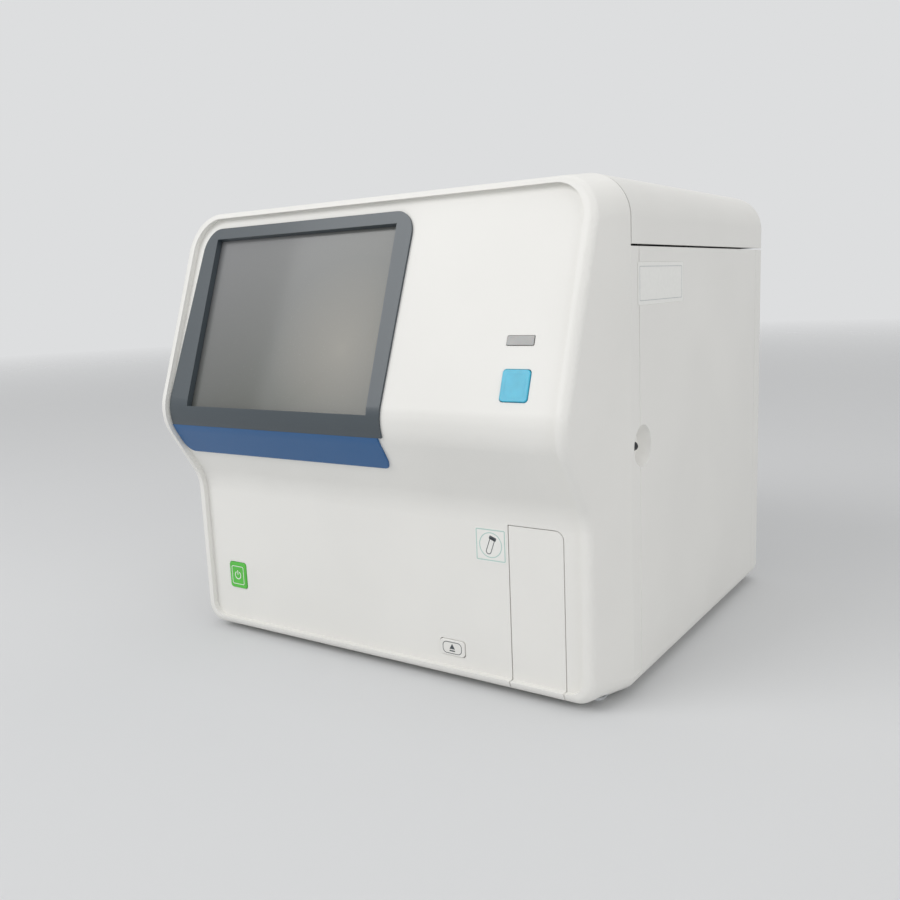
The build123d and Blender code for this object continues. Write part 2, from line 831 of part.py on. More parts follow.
# Chassis: two side frames, bulkhead, top deck and rear panel
frame_x = inner - frame_gap
frame_front = seam_y + 6.0
frame_rear = panel_rear - 2.0
frame_top = side_top - 2.6


def side_frame():
    """Adds the right side frame: an upright sheet with turned flanges and lightening holes."""
    bend = base_edge_radius - wall - frame_gap
    with BuildSketch(across(frame_rear)) as section:
        with BuildLine():
            Polyline(
                (half - base_edge_radius - flange, chassis_z),
                (frame_x, chassis_z),
                (frame_x, frame_top),
                (frame_x - flange, frame_top),
                (frame_x - flange, frame_top - sheet),
                (frame_x - sheet, frame_top - sheet),
                (frame_x - sheet, chassis_z + sheet),
                (half - base_edge_radius - flange, chassis_z + sheet),
                close=True,
            )
        make_face()
        fillet(vertices().group_by(Axis.Y)[0].sort_by(Axis.X)[-1], bend)
        fillet(vertices().group_by(Axis.X)[-2].sort_by(Axis.Y)[0], bend - sheet)
    extrude(section.sketch, amount=frame_rear - frame_front)
    with BuildSketch(Plane.YZ.offset(frame_x - flange)) as holes:
        with Locations(((frame_front + frame_rear) / 2, 70)):
            with GridLocations(55, 44, 5, 2):
                Circle(14)
        with Locations((well_y - 12, well_z)):
            Rectangle(well_radius * 2 + 30, well_radius * 2 + 12)
    extrude(holes.sketch, amount=3 * flange, mode=Mode.SUBTRACT)


with BuildPart() as right_frame:
    side_frame()
write(right_frame, "right_frame")

with BuildPart() as left_frame:
    add(right_frame.part.mirror(Plane.YZ))
write(left_frame, "left_frame")

wall_half = frame_x - sheet - frame_gap
with BuildPart() as bulkhead:
    block((-wall_half, wall_half), (bulkhead_y, bulkhead_y + sheet), (chassis_z + sheet, deck_z))
    fillet(edges().filter_by(Axis.Y).group_by(Axis.Z)[0], base_edge_radius - wall)
    block((-wall_half + 30, wall_half - 30), (bulkhead_y, bulkhead_y + flange), (chassis_z, chassis_z + sheet))
    with BuildSketch(across(bulkhead_y + flange)):
        with Locations((-120, 270), (20, 40), (110, 250)):
            RectangleRounded(40, 26, 8)
    extrude(amount=2 * flange, mode=Mode.SUBTRACT)
write(bulkhead, "bulkhead")

deck_front = column_y + 12.0
with BuildPart() as top_deck:
    with BuildSketch(level(deck_z)):
        with BuildLine():
            Polyline((-wall_half, deck_front), (wall_half, deck_front), (wall_half, frame_rear), (-wall_half, frame_rear), close=True)
        make_face()
    extrude(amount=sheet)
    block((-wall_half, wall_half), (deck_front, deck_front + sheet), (deck_z - flange, deck_z))
    with BuildSketch(level(deck_z)):
        with Locations((-20, 140)):
            with GridLocations(14, 0, 10, 1):
                SlotOverall(40, 6, rotation=90)
    extrude(amount=sheet, mode=Mode.SUBTRACT)
write(top_deck, "top_deck")

inlet_x, inlet_z = -120.0, 84.0
rocker_z = inlet_z + 32.0
nipple_z = 70.0
nipple_x = 60.0
nipple_pitch = 22.0
ports_x, ports_z = -110.0, 200.0
with BuildPart() as rear_panel:
    block((-wall_half, wall_half), (rear_panel_y, rear_panel_y + sheet), (chassis_z, side_top - 3))
    fillet(edges().filter_by(Axis.Y).group_by(Axis.Z)[0], base_edge_radius - wall)
    with BuildSketch(across(rear_panel_y + sheet)):
        with Locations((fan_x, fan_z)):
            Circle(fan_size / 2 - 3)
        with Locations((inlet_x, inlet_z + 16)):
            Rectangle(30, 66)
        with Locations((ports_x, ports_z)):
            Rectangle(80, 18)
        with Locations((nipple_x, nipple_z)):
            with GridLocations(nipple_pitch, 0, 5, 1):
                Circle(5.0)
    extrude(amount=sheet, mode=Mode.SUBTRACT)
write(rear_panel, "rear_panel")

# Power entry with its rocker, fluid nipples and data ports
with BuildPart() as power_entry:
    with BuildSketch(across(rear_panel_y + sheet)):
        with Locations((inlet_x, inlet_z + 16)):
            RectangleRounded(38, 76, 3)
    extrude(amount=-2.0)
    with BuildSketch(across(rear_panel_y + sheet)):
        with Locations((inlet_x, inlet_z + 16)):
            Rectangle(29, 65)
    extrude(amount=26)
    with BuildSketch(across(rear_panel_y + sheet + 2)):
        with Locations((inlet_x, inlet_z)):
            Rectangle(24, 16)
        chamfer(vertices().group_by(Axis.Y)[-1], 4)
        with Locations((inlet_x, rocker_z)):
            Rectangle(14, 22)
    extrude(amount=18, mode=Mode.SUBTRACT)
    with BuildSketch(across(rear_panel_y - 14)):
        with Locations((inlet_x, inlet_z)):
            with GridLocations(7, 0, 3, 1):
                Rectangle(1.6, 4)
    extrude(amount=-14)
    with BuildSketch(Plane.YZ.offset(inlet_x - 7.5)):
        with Locations((rear_panel_y - 1, rocker_z)):
            Circle(1.5)
    extrude(amount=15)
write(power_entry, "power_entry")

with BuildPart() as main_rocker:
    with BuildSketch(Plane.YZ.offset(inlet_x - 6.5)):
        with BuildLine():
            Polyline(
                (rear_panel_y + 5.5, rocker_z + 8.5),
                (rear_panel_y + 3.5, rocker_z),
                (rear_panel_y + 1.5, rocker_z - 8.5),
                (rear_panel_y - 2.5, rocker_z - 8.5),
                (rear_panel_y - 4.5, rocker_z),
                (rear_panel_y - 2.5, rocker_z + 8.5),
                close=True,
            )
        make_face()
    extrude(amount=13)
    with BuildSketch(Plane.YZ.offset(inlet_x - 7)):
        with Locations((rear_panel_y - 1, rocker_z)):
            Circle(1.5 + running_gap)
    extrude(amount=15, mode=Mode.SUBTRACT)
write(main_rocker, "main_rocker")

with BuildPart() as fluid_nipples:
    for index in range(5):
        x = nipple_x + (index - 2) * nipple_pitch
        with BuildSketch(Plane(origin=(x, 0, nipple_z), x_dir=(0, 1, 0), z_dir=(1, 0, 0))):
            with BuildLine():
                Polyline(
                    (rear_panel_y - 10, 1.5),
                    (rear_panel_y - 10, 4.8),
                    (rear_panel_y + sheet, 4.8),
                    (rear_panel_y + sheet, 7.5),
                    (rear_panel_y + sheet + 4, 7.5),
                    (rear_panel_y + sheet + 4, 2.6),
                    (rear_panel_y + sheet + 9, 2.6),
                    (rear_panel_y + sheet + 9, 3.4),
                    (rear_panel_y + sheet + 13, 2.4),
                    (rear_panel_y + sheet + 13, 1.5),
                    close=True,
                )
            make_face()
        revolve(axis=Axis((x, 0, nipple_z), (0, 1, 0)))
write(fluid_nipples, "fluid_nipples")

with BuildPart() as data_ports:
    with BuildSketch(across(rear_panel_y + sheet + 1)):
        with Locations((ports_x, ports_z)):
            Rectangle(79, 17)
    extrude(amount=22)
    with BuildSketch(across(rear_panel_y + sheet + 1)):
        with Locations((ports_x - 28, ports_z)):
            Rectangle(13, 11)
        with Locations((ports_x - 6, ports_z), (ports_x + 10, ports_z)):
            Rectangle(6, 13)
        with Locations((ports_x + 29, ports_z)):
            Rectangle(12, 10)
    extrude(amount=14, mode=Mode.SUBTRACT)
write(data_ports, "data_ports")

# Cooling fan: frame, rotor and wire guard
fan_rear = rear_panel_y
fan_front = fan_rear - fan_depth
fan_bore = fan_size / 2 - 1.5
hub_radius = fan_size * 0.21
fan_hole = fan_size * 0.4475
with BuildPart() as fan_frame:
    with BuildSketch(across(fan_rear)):
        with Locations((fan_x, fan_z)):
            RectangleRounded(fan_size, fan_size, 4)
            Circle(fan_bore, mode=Mode.SUBTRACT)
            with GridLocations(2 * fan_hole, 2 * fan_hole, 2, 2):
                Circle(2.2, mode=Mode.SUBTRACT)
    extrude(amount=fan_depth)
    with BuildSketch(across(fan_front + 3)):
        with Locations((fan_x, fan_z)):
            Circle(hub_radius)
            Rectangle(3.0, 2 * fan_bore + 1)
            Rectangle(2 * fan_bore + 1, 3.0)
    extrude(amount=3)
    with BuildSketch(across(fan_front + 10)):
        with Locations((fan_x, fan_z)):
            Circle(1.5)
    extrude(amount=8)
write(fan_frame, "fan_frame")

with BuildPart() as fan_rotor:
    with BuildSketch(across(fan_rear - 3)):
        with Locations((fan_x, fan_z)):
            Circle(hub_radius - 0.5)
    extrude(amount=fan_depth - 3 - 4.5)
    for index in range(fan_blades):
        turn = 2 * pi * index / fan_blades
        blade = Plane(
            origin=(fan_x + hub_radius * 0.8 * cos(turn), (fan_front + fan_rear) / 2 + 1, fan_z + hub_radius * 0.8 * sin(turn)),
            x_dir=(-sin(turn) * cos(pi / 4), sin(pi / 4), cos(turn) * cos(pi / 4)),
            z_dir=(cos(turn), 0, sin(turn)),
        )
        with BuildSketch(blade):
            Rectangle(20, 1.4)
        extrude(amount=fan_bore - hub_radius * 0.8 - 2.5)
    with BuildSketch(across(fan_front + 11)):
        with Locations((fan_x, fan_z)):
            Circle(1.5 + running_gap)
    extrude(amount=8, mode=Mode.SUBTRACT)
write(fan_rotor, "fan_rotor")

with BuildPart() as fan_guard:
    with BuildSketch(across(rear_panel_y + sheet + 2)):
        with Locations((fan_x, fan_z)):
            for share in (0.22, 0.42, 0.62, 0.82, 1.0):
                Circle(fan_size / 2 * share)
                Circle(fan_size / 2 * share - 1.6, mode=Mode.SUBTRACT)
            with GridLocations(2 * fan_hole, 2 * fan_hole, 2, 2):
                Circle(4)
            Rectangle(2 * fan_hole * 1.414, 2, rotation=45)
            Rectangle(2 * fan_hole * 1.414, 2, rotation=-45)
    extrude(amount=2)
write(fan_guard, "fan_guard")

# Top lid with its hinge lugs and stop bosses
lug_x = hinge_x + knuckle_width / 2 + lug_gap
bumper_x = half - wall - 11.0
bumper_y = seam_y + 32.0
bumper_top = side_top + 5.0
boss_radius = 5.0
boss_reach = bumper_x + boss_radius - (half - side_edge_radius)
boss_top = height - side_edge_radius + sqrt(side_edge_radius**2 - boss_reach**2) - wall / 3
with BuildPart() as top_lid:
    with BuildSketch(across(rear_y)):
        rounded_outline(half, lid_z, height, 0.3, side_edge_radius)
    extrude(amount=rear_y - seam_y - lid_gap)
    rear_rim = edges().group_by(Axis.Y)[-1]
    fillet(rear_rim.filter_by(lambda e: e.position_at(0.5).Z > lid_z + 1), rear_edge_radius)
    with BuildSketch(across(rear_y - wall)):
        with BuildLine():
            Polyline((-inner, lid_z - 1), (inner, lid_z - 1), (inner, height - wall), (-inner, height - wall), close=True)
        make_face()
        fillet(vertices().sort_by(Axis.Y)[-2:], side_edge_radius - wall)
    extrude(amount=rear_y - seam_y - lid_gap - 2 * wall, mode=Mode.SUBTRACT)
    with BuildSketch(Plane.YZ.offset(-half - 1)):
        with Locations((rear_y, lid_z)):
            Rectangle(2 * hinge_round, 2 * hinge_round)
        with Locations((hinge_y, hinge_z)):
            Circle(hinge_round, mode=Mode.SUBTRACT)
            Rectangle(4 * hinge_round, 4 * hinge_round, align=(Align.CENTER, Align.MIN), mode=Mode.SUBTRACT)
            Rectangle(4 * hinge_round, 4 * hinge_round, align=(Align.MAX, Align.CENTER), mode=Mode.SUBTRACT)
    extrude(amount=width + 2, mode=Mode.SUBTRACT)
    for side in (-1, 1):
        block(
            (side * hinge_x - knuckle_width / 2 - 1, side * hinge_x + knuckle_width / 2 + 1),
            (rear_y - 2 * wall, rear_y + 1),
            (lid_z - 1, hinge_z + 8),
            Mode.SUBTRACT,
        )
        for x in (side * hinge_x - knuckle_width / 2 - lug_gap - lug_width, side * hinge_x + knuckle_width / 2 + lug_gap):
            with BuildSketch(Plane.YZ.offset(x)):
                with Locations((hinge_y, hinge_z)):
                    Circle(knuckle_radius)
                    Rectangle(hinge_round - wall / 2, 20, align=(Align.MIN, Align.MIN))
            extrude(amount=lug_width)
            with BuildSketch(Plane.YZ.offset(x)):
                with Locations((hinge_y, hinge_z)):
                    Circle(pin_radius + running_gap)
            extrude(amount=lug_width, mode=Mode.SUBTRACT)
        upright(side * bumper_x, bumper_y, (bumper_top, boss_top), boss_radius)
write(top_lid, "top_lid")

with BuildPart() as hinge_brackets:
    for side in (-1, 1):
        with BuildSketch(Plane.YZ.offset(side * hinge_x - knuckle_width / 2)):
            with BuildLine():
                Polyline(
                    (hinge_y, hinge_z - knuckle_radius),
                    (hinge_y, hinge_z + knuckle_radius),
                    (frame_rear - 14, hinge_z + knuckle_radius),
                    (frame_rear - 14, deck_z + sheet + 3),
                    (frame_rear - 30, deck_z + sheet + 3),
                    (frame_rear - 30, deck_z + sheet),
                    (frame_rear - 4, deck_z + sheet),
                    (frame_rear - 4, hinge_z - knuckle_radius),
                    close=True,
                )
            make_face()
            with Locations((hinge_y, hinge_z)):
                Circle(knuckle_radius)
                Circle(pin_radius, mode=Mode.SUBTRACT)
        extrude(amount=knuckle_width)
write(hinge_brackets, "hinge_brackets")

with BuildPart() as hinge_pins:
    for side in (-1, 1):
        reach = knuckle_width / 2 + lug_gap + lug_width
        with BuildSketch(Plane.YZ.offset(side * hinge_x - reach)):
            with Locations((hinge_y, hinge_z)):
                Circle(pin_radius)
        extrude(amount=2 * reach)
write(hinge_pins, "hinge_pins")

with BuildPart() as lid_bumpers:
    for side in (-1, 1):
        turned(
            side * bumper_x,
            bumper_y,
            [(0, frame_top), (6.0, frame_top), (6.0, frame_top + 3), (4.5, bumper_top - frame_gap), (0, bumper_top - frame_gap)],
        )
write(lid_bumpers, "lid_bumpers")

# Reagent bay under the lid
bay_x, bay_y = -110.0, 20.0
cartridge_pitch = 58.0
cartridge_radius = 23.0
socket_height = 22.0
deck_top = deck_z + sheet
with BuildPart() as reagent_holder:
    with BuildSketch(level(deck_top)):
        with Locations((bay_x, bay_y)):
            RectangleRounded(3 * cartridge_pitch + 10, cartridge_pitch + 14, 8)
    extrude(amount=wall)
    with BuildSketch(level(deck_top + wall)):
        with Locations((bay_x, bay_y)):
            with GridLocations(cartridge_pitch, 0, 3, 1):
                Circle(cartridge_radius + wall)
                Circle(cartridge_radius + slide_gap, mode=Mode.SUBTRACT)
    extrude(amount=socket_height)
write(reagent_holder, "reagent_holder")

with BuildPart() as reagent_cartridges:
    for index in (-1, 0, 1):
        low = deck_top + wall
        turned(
            bay_x + index * cartridge_pitch,
            bay_y,
            [
                (0, low),
                (cartridge_radius, low),
                (cartridge_radius, low + 50),
                (cartridge_radius - 8, low + 60),
                (14.0, low + 60),
                (14.0, low + 78),
                (0, low + 78),
            ],
        )
write(reagent_cartridges, "reagent_cartridges")

# Optical bench with flow cell, laser and detector
bench_x, bench_y = 95.0, 20.0
bench_top = deck_top + 12.0
with BuildPart() as optical_bench:
    with BuildSketch(level(deck_top)):
        with Locations((bench_x, bench_y)):
            RectangleRounded(190, 110, 8)
    extrude(amount=bench_top - deck_top)
    with BuildSketch(level(deck_top)):
        with Locations((bench_x, bench_y)):
            with GridLocations(60, 50, 3, 2):
                RectangleRounded(50, 40, 5)
    extrude(amount=bench_top - deck_top - 5, mode=Mode.SUBTRACT)
write(optical_bench, "optical_bench")

with BuildPart() as flow_cell:
    block((bench_x - 14, bench_x + 14), (bench_y - 14, bench_y + 14), (bench_top, bench_top + 40))
    block((bench_x - 5, bench_x + 5), (bench_y - 15, bench_y + 15), (bench_top + 12, bench_top + 30), Mode.SUBTRACT)
    block((bench_x - 15, bench_x + 15), (bench_y - 5, bench_y + 5), (bench_top + 12, bench_top + 30), Mode.SUBTRACT)
    block((bench_x - 2, bench_x + 2), (bench_y - 2, bench_y + 2), (bench_top + 12, bench_top + 30))
    upright(bench_x, bench_y, (bench_top + 40, bench_top + 50), 3.0)
write(flow_cell, "flow_cell")

with BuildPart() as laser_module:
    block((bench_x - 84, bench_x - 44), (bench_y - 16, bench_y + 16), (bench_top, bench_top + 38))
    with BuildSketch(Plane.YZ.offset(bench_x - 44)):
        with Locations((bench_y, bench_top + 21)):
            Circle(8)
    extrude(amount=20)
    for index in range(6):
        x = bench_x - 82 + index * 6.5
        block((x, x + 3.5), (bench_y - 17, bench_y + 17), (bench_top + 26, bench_top + 39), Mode.SUBTRACT)
write(laser_module, "laser_module")

with BuildPart() as light_detector:
    block((bench_x + 40, bench_x + 78), (bench_y - 18, bench_y + 18), (bench_top, bench_top + 36))
    with BuildSketch(Plane.YZ.offset(bench_x + 22)):
        with Locations((bench_y, bench_top + 21)):
            Circle(10)
    extrude(amount=18)
write(light_detector, "light_detector")

# Fluidics on the front of the bulkhead
syringe_x = -165.0
syringe_y = bulkhead_y - 24.0
syringe_travel = 40.0
with BuildPart() as syringe_frame:
    block((syringe_x - 22, syringe_x + 22), (bulkhead_y - wall, bulkhead_y), (60, 270))
    block((syringe_x - 22, syringe_x + 22), (syringe_y - 14, bulkhead_y - wall), (260, 266))
    block((syringe_x - 22, syringe_x + 22), (syringe_y - 14, bulkhead_y - wall), (180, 186))
    block((syringe_x - 22, syringe_x + 22), (syringe_y - 22, bulkhead_y - wall), (100, 104))
    upright(syringe_x, syringe_y, (179, 187), 7.0, Mode.SUBTRACT)
    upright(syringe_x, syringe_y, (99, 105), 4.0, Mode.SUBTRACT)
write(syringe_frame, "syringe_frame")

with BuildPart() as syringe_barrel:
    turned(
        syringe_x,
        syringe_y,
        [(5.0, 186), (10.0, 186), (10.0, 250), (4.0, 256), (4.0, 260), (1.0, 260), (1.0, 252), (5.0, 248)],
    )
write(syringe_barrel, "syringe_barrel")

with BuildPart() as syringe_plunger:
    upright(syringe_x, syringe_y, (192, 204), 5.0 - running_gap)
    upright(syringe_x, syringe_y, (124, 192), 3.0)
    block((syringe_x - 14, syringe_x + 14), (syringe_y - 9, syringe_y + 9), (114, 124))
write(syringe_plunger, "syringe_plunger")

with BuildPart() as stepper_motors:
    for x, y, low in ((screw_axis_x, drive_y, column_top + wall), (syringe_x, syringe_y - 1, 100 - motor_height)):
        with BuildSketch(level(low)):
            with Locations((x, y)):
                Rectangle(motor_side, motor_side)
            chamfer(vertices(), 4.0)
        extrude(amount=motor_height)
    upright(screw_axis_x, drive_y, (column_top + wall, column_top + wall + 6), screw_radius + slide_gap, Mode.SUBTRACT)
write(stepper_motors, "stepper_motors")

with BuildPart() as mixing_chambers:
    for x in (-80.0, -30.0):
        block((x - 16, x + 16), (bulkhead_y - 26, bulkhead_y), (205, 215))
        turned(
            x,
            bulkhead_y - 26,
            [(2.0, 166), (5.0, 166), (5.0, 178), (17.0, 192), (17.0, 240), (15.0, 240), (15.0, 193), (2.0, 179)],
        )
write(mixing_chambers, "mixing_chambers")

valve_x, valve_z = -30.0, 110.0
valve_pitch = 22.0
valve_count = 8
with BuildPart() as valve_manifold:
    block(
        (valve_x - valve_pitch * valve_count / 2 - 6, valve_x + valve_pitch * valve_count / 2 + 6),
        (bulkhead_y - 20, bulkhead_y),
        (valve_z - 18, valve_z + 18),
    )
    with BuildSketch(level(valve_z + 18)):
        with Locations((valve_x, bulkhead_y - 10)):
            with GridLocations(valve_pitch, 0, valve_count, 1):
                Circle(2.0)
    extrude(amount=-14, mode=Mode.SUBTRACT)
write(valve_manifold, "valve_manifold")

with BuildPart() as solenoid_valves:
    for index in range(valve_count):
        x = valve_x + (index - (valve_count - 1) / 2) * valve_pitch
        block((x - 8, x + 8), (bulkhead_y - 54, bulkhead_y - 20), (valve_z - 9, valve_z + 9))
        block((x - 5, x + 5), (bulkhead_y - 50, bulkhead_y - 26), (valve_z + 9, valve_z + 12))
write(solenoid_valves, "solenoid_valves")

with BuildPart() as count_detector:
    block((40, 90), (bulkhead_y - 30, bulkhead_y), (200, 262))
    with BuildSketch(across(bulkhead_y - 30)):
        with Locations((65, 231)):
            Circle(16)
    extrude(amount=8)
    upright(65, bulkhead_y - 15, (262, 274), 4.0)
    upright(65, bulkhead_y - 15, (188, 200), 4.0)
write(count_detector, "count_detector")

# Rear bay: power supply, pumps, waste chamber and main board
with BuildPart() as power_supply:
    block((50, 190), (70, 160), (chassis_z, 80))
    with BuildSketch(level(80)):
        with Locations((120, 115)):
            with GridLocations(12, 20, 9, 3):
                SlotOverall(14, 5, rotation=90)
    extrude(amount=-2, mode=Mode.SUBTRACT)
write(power_supply, "power_supply")

with BuildPart() as diaphragm_pumps:
    for y in (85.0, 145.0):
        block((-190, -140), (y - 22, y + 22), (chassis_z, chassis_z + 44))
        with BuildSketch(Plane.YZ.offset(-140)):
            with Locations((y, chassis_z + 24)):
                Circle(17)
        extrude(amount=46)
        block((-182, -148), (y - 18, y + 18), (chassis_z + 44, chassis_z + 58))
write(diaphragm_pumps, "diaphragm_pumps")

with BuildPart() as waste_chamber:
    turned(
        -30,
        118,
        [
            (0, chassis_z),
            (36, chassis_z),
            (36, chassis_z + 110),
            (28, chassis_z + 122),
            (16, chassis_z + 126),
            (16, chassis_z + 140),
            (0, chassis_z + 140),
        ],
    )
write(waste_chamber, "waste_chamber")

board_y = bulkhead_y + sheet + 8.0
with BuildPart() as main_board:
    block((-120, 80), (board_y, board_y + 1.6), (150, 290))
    for x in (-112, 72):
        for z in (158, 282):
            with BuildSketch(across(board_y)):
                with Locations((x, z)):
                    RegularPolygon(3.2, 6)
            extrude(amount=board_y - bulkhead_y - sheet)
    for x, z, w, h, t in (
        (-60, 240, 36, 36, 8),
        (0, 250, 24, 16, 4),
        (40, 200, 30, 12, 10),
        (-80, 180, 16, 24, 5),
        (-20, 180, 44, 10, 9),
    ):
        block((x - w / 2, x + w / 2), (board_y + 1.6, board_y + 1.6 + t), (z - h / 2, z + h / 2))
write(main_board, "main_board")
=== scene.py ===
"""Looks of a compact bench-top hematology analyzer: moulded covers, display, keys, labels and studio."""

import json
from math import atan2, cos, pi, radians, sin

import bmesh
import bpy
from bpy.props import FloatProperty, FloatVectorProperty, PointerProperty
from mathutils import Matrix, Vector


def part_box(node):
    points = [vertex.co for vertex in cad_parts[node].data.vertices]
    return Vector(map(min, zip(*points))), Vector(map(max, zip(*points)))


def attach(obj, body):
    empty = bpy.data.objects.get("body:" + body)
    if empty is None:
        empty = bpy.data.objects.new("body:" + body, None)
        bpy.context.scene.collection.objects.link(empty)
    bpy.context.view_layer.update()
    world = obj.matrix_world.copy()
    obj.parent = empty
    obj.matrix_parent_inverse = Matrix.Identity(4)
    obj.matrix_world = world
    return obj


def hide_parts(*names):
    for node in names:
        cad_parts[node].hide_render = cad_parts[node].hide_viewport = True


bl_info = {
    "name": "Hematology analyzer",
    "version": (1, 0, 0),
    "blender": (4, 5, 0),
    "location": "3D View > Sidebar > Analyzer",
    "description": "Adds a compact bench-top hematology analyzer",
    "category": "Add Mesh",
}

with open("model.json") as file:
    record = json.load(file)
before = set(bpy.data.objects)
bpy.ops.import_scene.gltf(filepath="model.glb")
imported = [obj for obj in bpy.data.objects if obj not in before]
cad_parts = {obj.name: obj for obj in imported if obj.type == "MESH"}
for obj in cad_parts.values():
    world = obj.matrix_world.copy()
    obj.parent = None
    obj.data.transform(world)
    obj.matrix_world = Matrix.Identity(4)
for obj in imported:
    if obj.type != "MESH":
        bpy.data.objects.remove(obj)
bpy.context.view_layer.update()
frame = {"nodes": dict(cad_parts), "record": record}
nodes = frame["nodes"]
mm = 0.001

# Lean of the front's upper panel back from upright, and of the face under the nose
incline_lean = radians(20.2)
undercut_lean = radians(32)

# Top of the nose, and the bezel's reach up the incline from there
nose_top = Vector((0, -206.09 * mm, 237.03 * mm))
bezel_reach = 162.6 * mm

# Bare label on the right side panel
side_label_width, side_label_height, side_label_corner = 96 * mm, 32 * mm, 1.5 * mm
side_label_middle = (-67.5 * mm, 324 * mm)
side_label_clearance = 0.2 * mm

# Bare label beside the drawer
door_label_middle = (122 * mm, -171 * mm, 124 * mm)
door_label_width, door_label_height = 29 * mm, 28 * mm


def linear(hex_colour):
    """Linear RGBA of an sRGB hex colour."""
    channels = [int(hex_colour[place : place + 2], 16) / 255 for place in (1, 3, 5)]
    return (*[c / 12.92 if c <= 0.04045 else ((c + 0.055) / 1.055) ** 2.4 for c in channels], 1.0)


def colour(name, hex_colour, description):
    """Colour property that a user can change."""
    return FloatVectorProperty(
        name=name, description=description, subtype="COLOR", size=4, min=0, max=1, default=linear(hex_colour)
    )


def length(name, millimetres, description):
    """Length property in metres, with its default given in millimetres."""
    return FloatProperty(
        name=name, description=description, subtype="DISTANCE", unit="LENGTH", min=0, default=millimetres * mm
    )


class AnalyzerCovers(bpy.types.PropertyGroup):
    """Moulded covers."""

    white: colour("Cover white", "#EFEEEA", "Warm white of the moulded covers")
    grain: length("Mould grain", 1.6, "Size of the mould texture's grain")
    relief: length("Mould relief", 0.02, "Depth of the mould texture")
    edge: length("Edge round", 0.4, "Round on the covers' sharp edges")


class AnalyzerDisplay(bpy.types.PropertyGroup):
    """Display, bezel and trim."""

    slate: colour("Bezel slate", "#434C52", "Slate grey of the display bezel")
    blue: colour("Trim blue", "#1E5A90", "Blue of the trim under the nose")
    screen: colour("Screen", "#4A4D45", "Unlit panel seen through the touch film")
    # Painted reflection: the unlit panel is drawn lighter towards its upper left
    screen_painted_reflection: colour("Screen light side", "#7E7F80", "Upper left of the unlit panel")
    # Painted reflected light: a warm glow drawn at the right of the unlit panel
    screen_painted_glow: colour("Screen glow", "#8B867B", "Warm haze at the right of the unlit panel")
    gasket: colour("Gasket", "#1B1D1F", "Black foam round the touch panel")
    gasket_width: length("Gasket width", 2.0, "Width of the gasket round the touch panel")


class AnalyzerKeys(bpy.types.PropertyGroup):
    """Push keys and lamp."""

    start: colour("Start key", "#3FB2D0", "Cyan of the start key")
    power: colour("Power key", "#4FB63B", "Green of the power key")
    lamp: colour("Status lamp", "#A3A3A1", "Unlit status lamp")
    ink: colour("Symbol ink", "#4A5156", "Ink of the printed symbols")
    line: length("Symbol line", 0.9, "Width of a printed symbol's line")
    ink_height: length("Ink height", 0.08, "Thickness of the printed ink")


class AnalyzerLabels(bpy.types.PropertyGroup):
    """Bare labels on the covers."""

    film: colour("Label film", "#F5F5F1", "Pale polyester film")
    mint: colour("Label mint", "#BFD9D2", "Pale green border of the door label")
    grey: colour("Label grey", "#C2C5C6", "Grey rule on the side label")
    thickness: length("Film thickness", 0.2, "Thickness of the label film")


class AnalyzerStage(bpy.types.PropertyGroup):
    """Camera, floor and lamps."""

    camera_place: FloatVectorProperty(
        name="Camera place",
        description="Camera's place",
        subtype="TRANSLATION",
        default=(0.4966, -0.7748, 0.3276),
    )
    camera_turn: FloatVectorProperty(
        name="Camera turn",
        description="Camera's rotation",
        subtype="EULER",
        default=(radians(79.976), radians(2.4145), radians(33.737)),
    )
    lens: FloatProperty(name="Lens", description="Focal length", subtype="DISTANCE_CAMERA", default=36.92)
    floor: colour("Floor", "#DDDEDF", "Pale floor")
    backdrop: colour("Backdrop", "#DDDEDF", "Pale backdrop")
    key: FloatProperty(name="Key lamp", description="Power of the key lamp", unit="POWER", default=39.0)
    fill: FloatProperty(name="Fill lamp", description="Power of the fill lamp", unit="POWER", default=15.0)
    top: FloatProperty(name="Top lamp", description="Power of the top lamp", unit="POWER", default=14.0)
    room: FloatProperty(name="Room light", description="Strength of the even room light", default=0.48)


def settings(group):
    """Property group with the user's values."""
    return getattr(bpy.context.scene, "analyzer_" + group)


# Materials


def per_metre(millimetres):
    """Pattern repeats in a metre for a grain of that size."""
    return 1 / (millimetres * mm)


def add_node(tree, kind, settings=None, links=None):
    """Adds a shader node with its sockets or properties set, and its inputs linked."""
    added = tree.nodes.new(kind)
    for name, value in (settings or {}).items():
        if isinstance(name, int) or name in added.inputs:
            added.inputs[name].default_value = value
        else:
            setattr(added, name, value)
    for name, output in (links or {}).items():
        tree.links.new(output, added.inputs[name])
    return added


def new_material(name, settings):
    """Material with a principled shader, its tree, and the piece's Object coordinates."""
    material = bpy.data.materials.new(name)
    material.use_nodes = True
    tree = material.node_tree
    shader = tree.nodes["Principled BSDF"]
    for socket, value in settings.items():
        shader.inputs[socket].default_value = value
    place = add_node(tree, "ShaderNodeTexCoord").outputs["Object"]
    return material, tree, shader, place


def ramp_between(tree, source, low, high, low_colour, high_colour):
    """Colour that runs between two colours as a value goes from low to high."""
    share = add_node(tree, "ShaderNodeMapRange", {"From Min": low, "From Max": high}, {"Value": source})
    blend = add_node(tree, "ShaderNodeMix", {"data_type": "RGBA"}, {"Factor": share.outputs["Result"]})
    blend.inputs[6].default_value = low_colour
    blend.inputs[7].default_value = high_colour
    return blend.outputs[2]


def shade(base, factor):
    """Colour with its light multiplied by factor."""
    return (*[min(channel * factor, 1.0) for channel in base[:3]], 1.0)


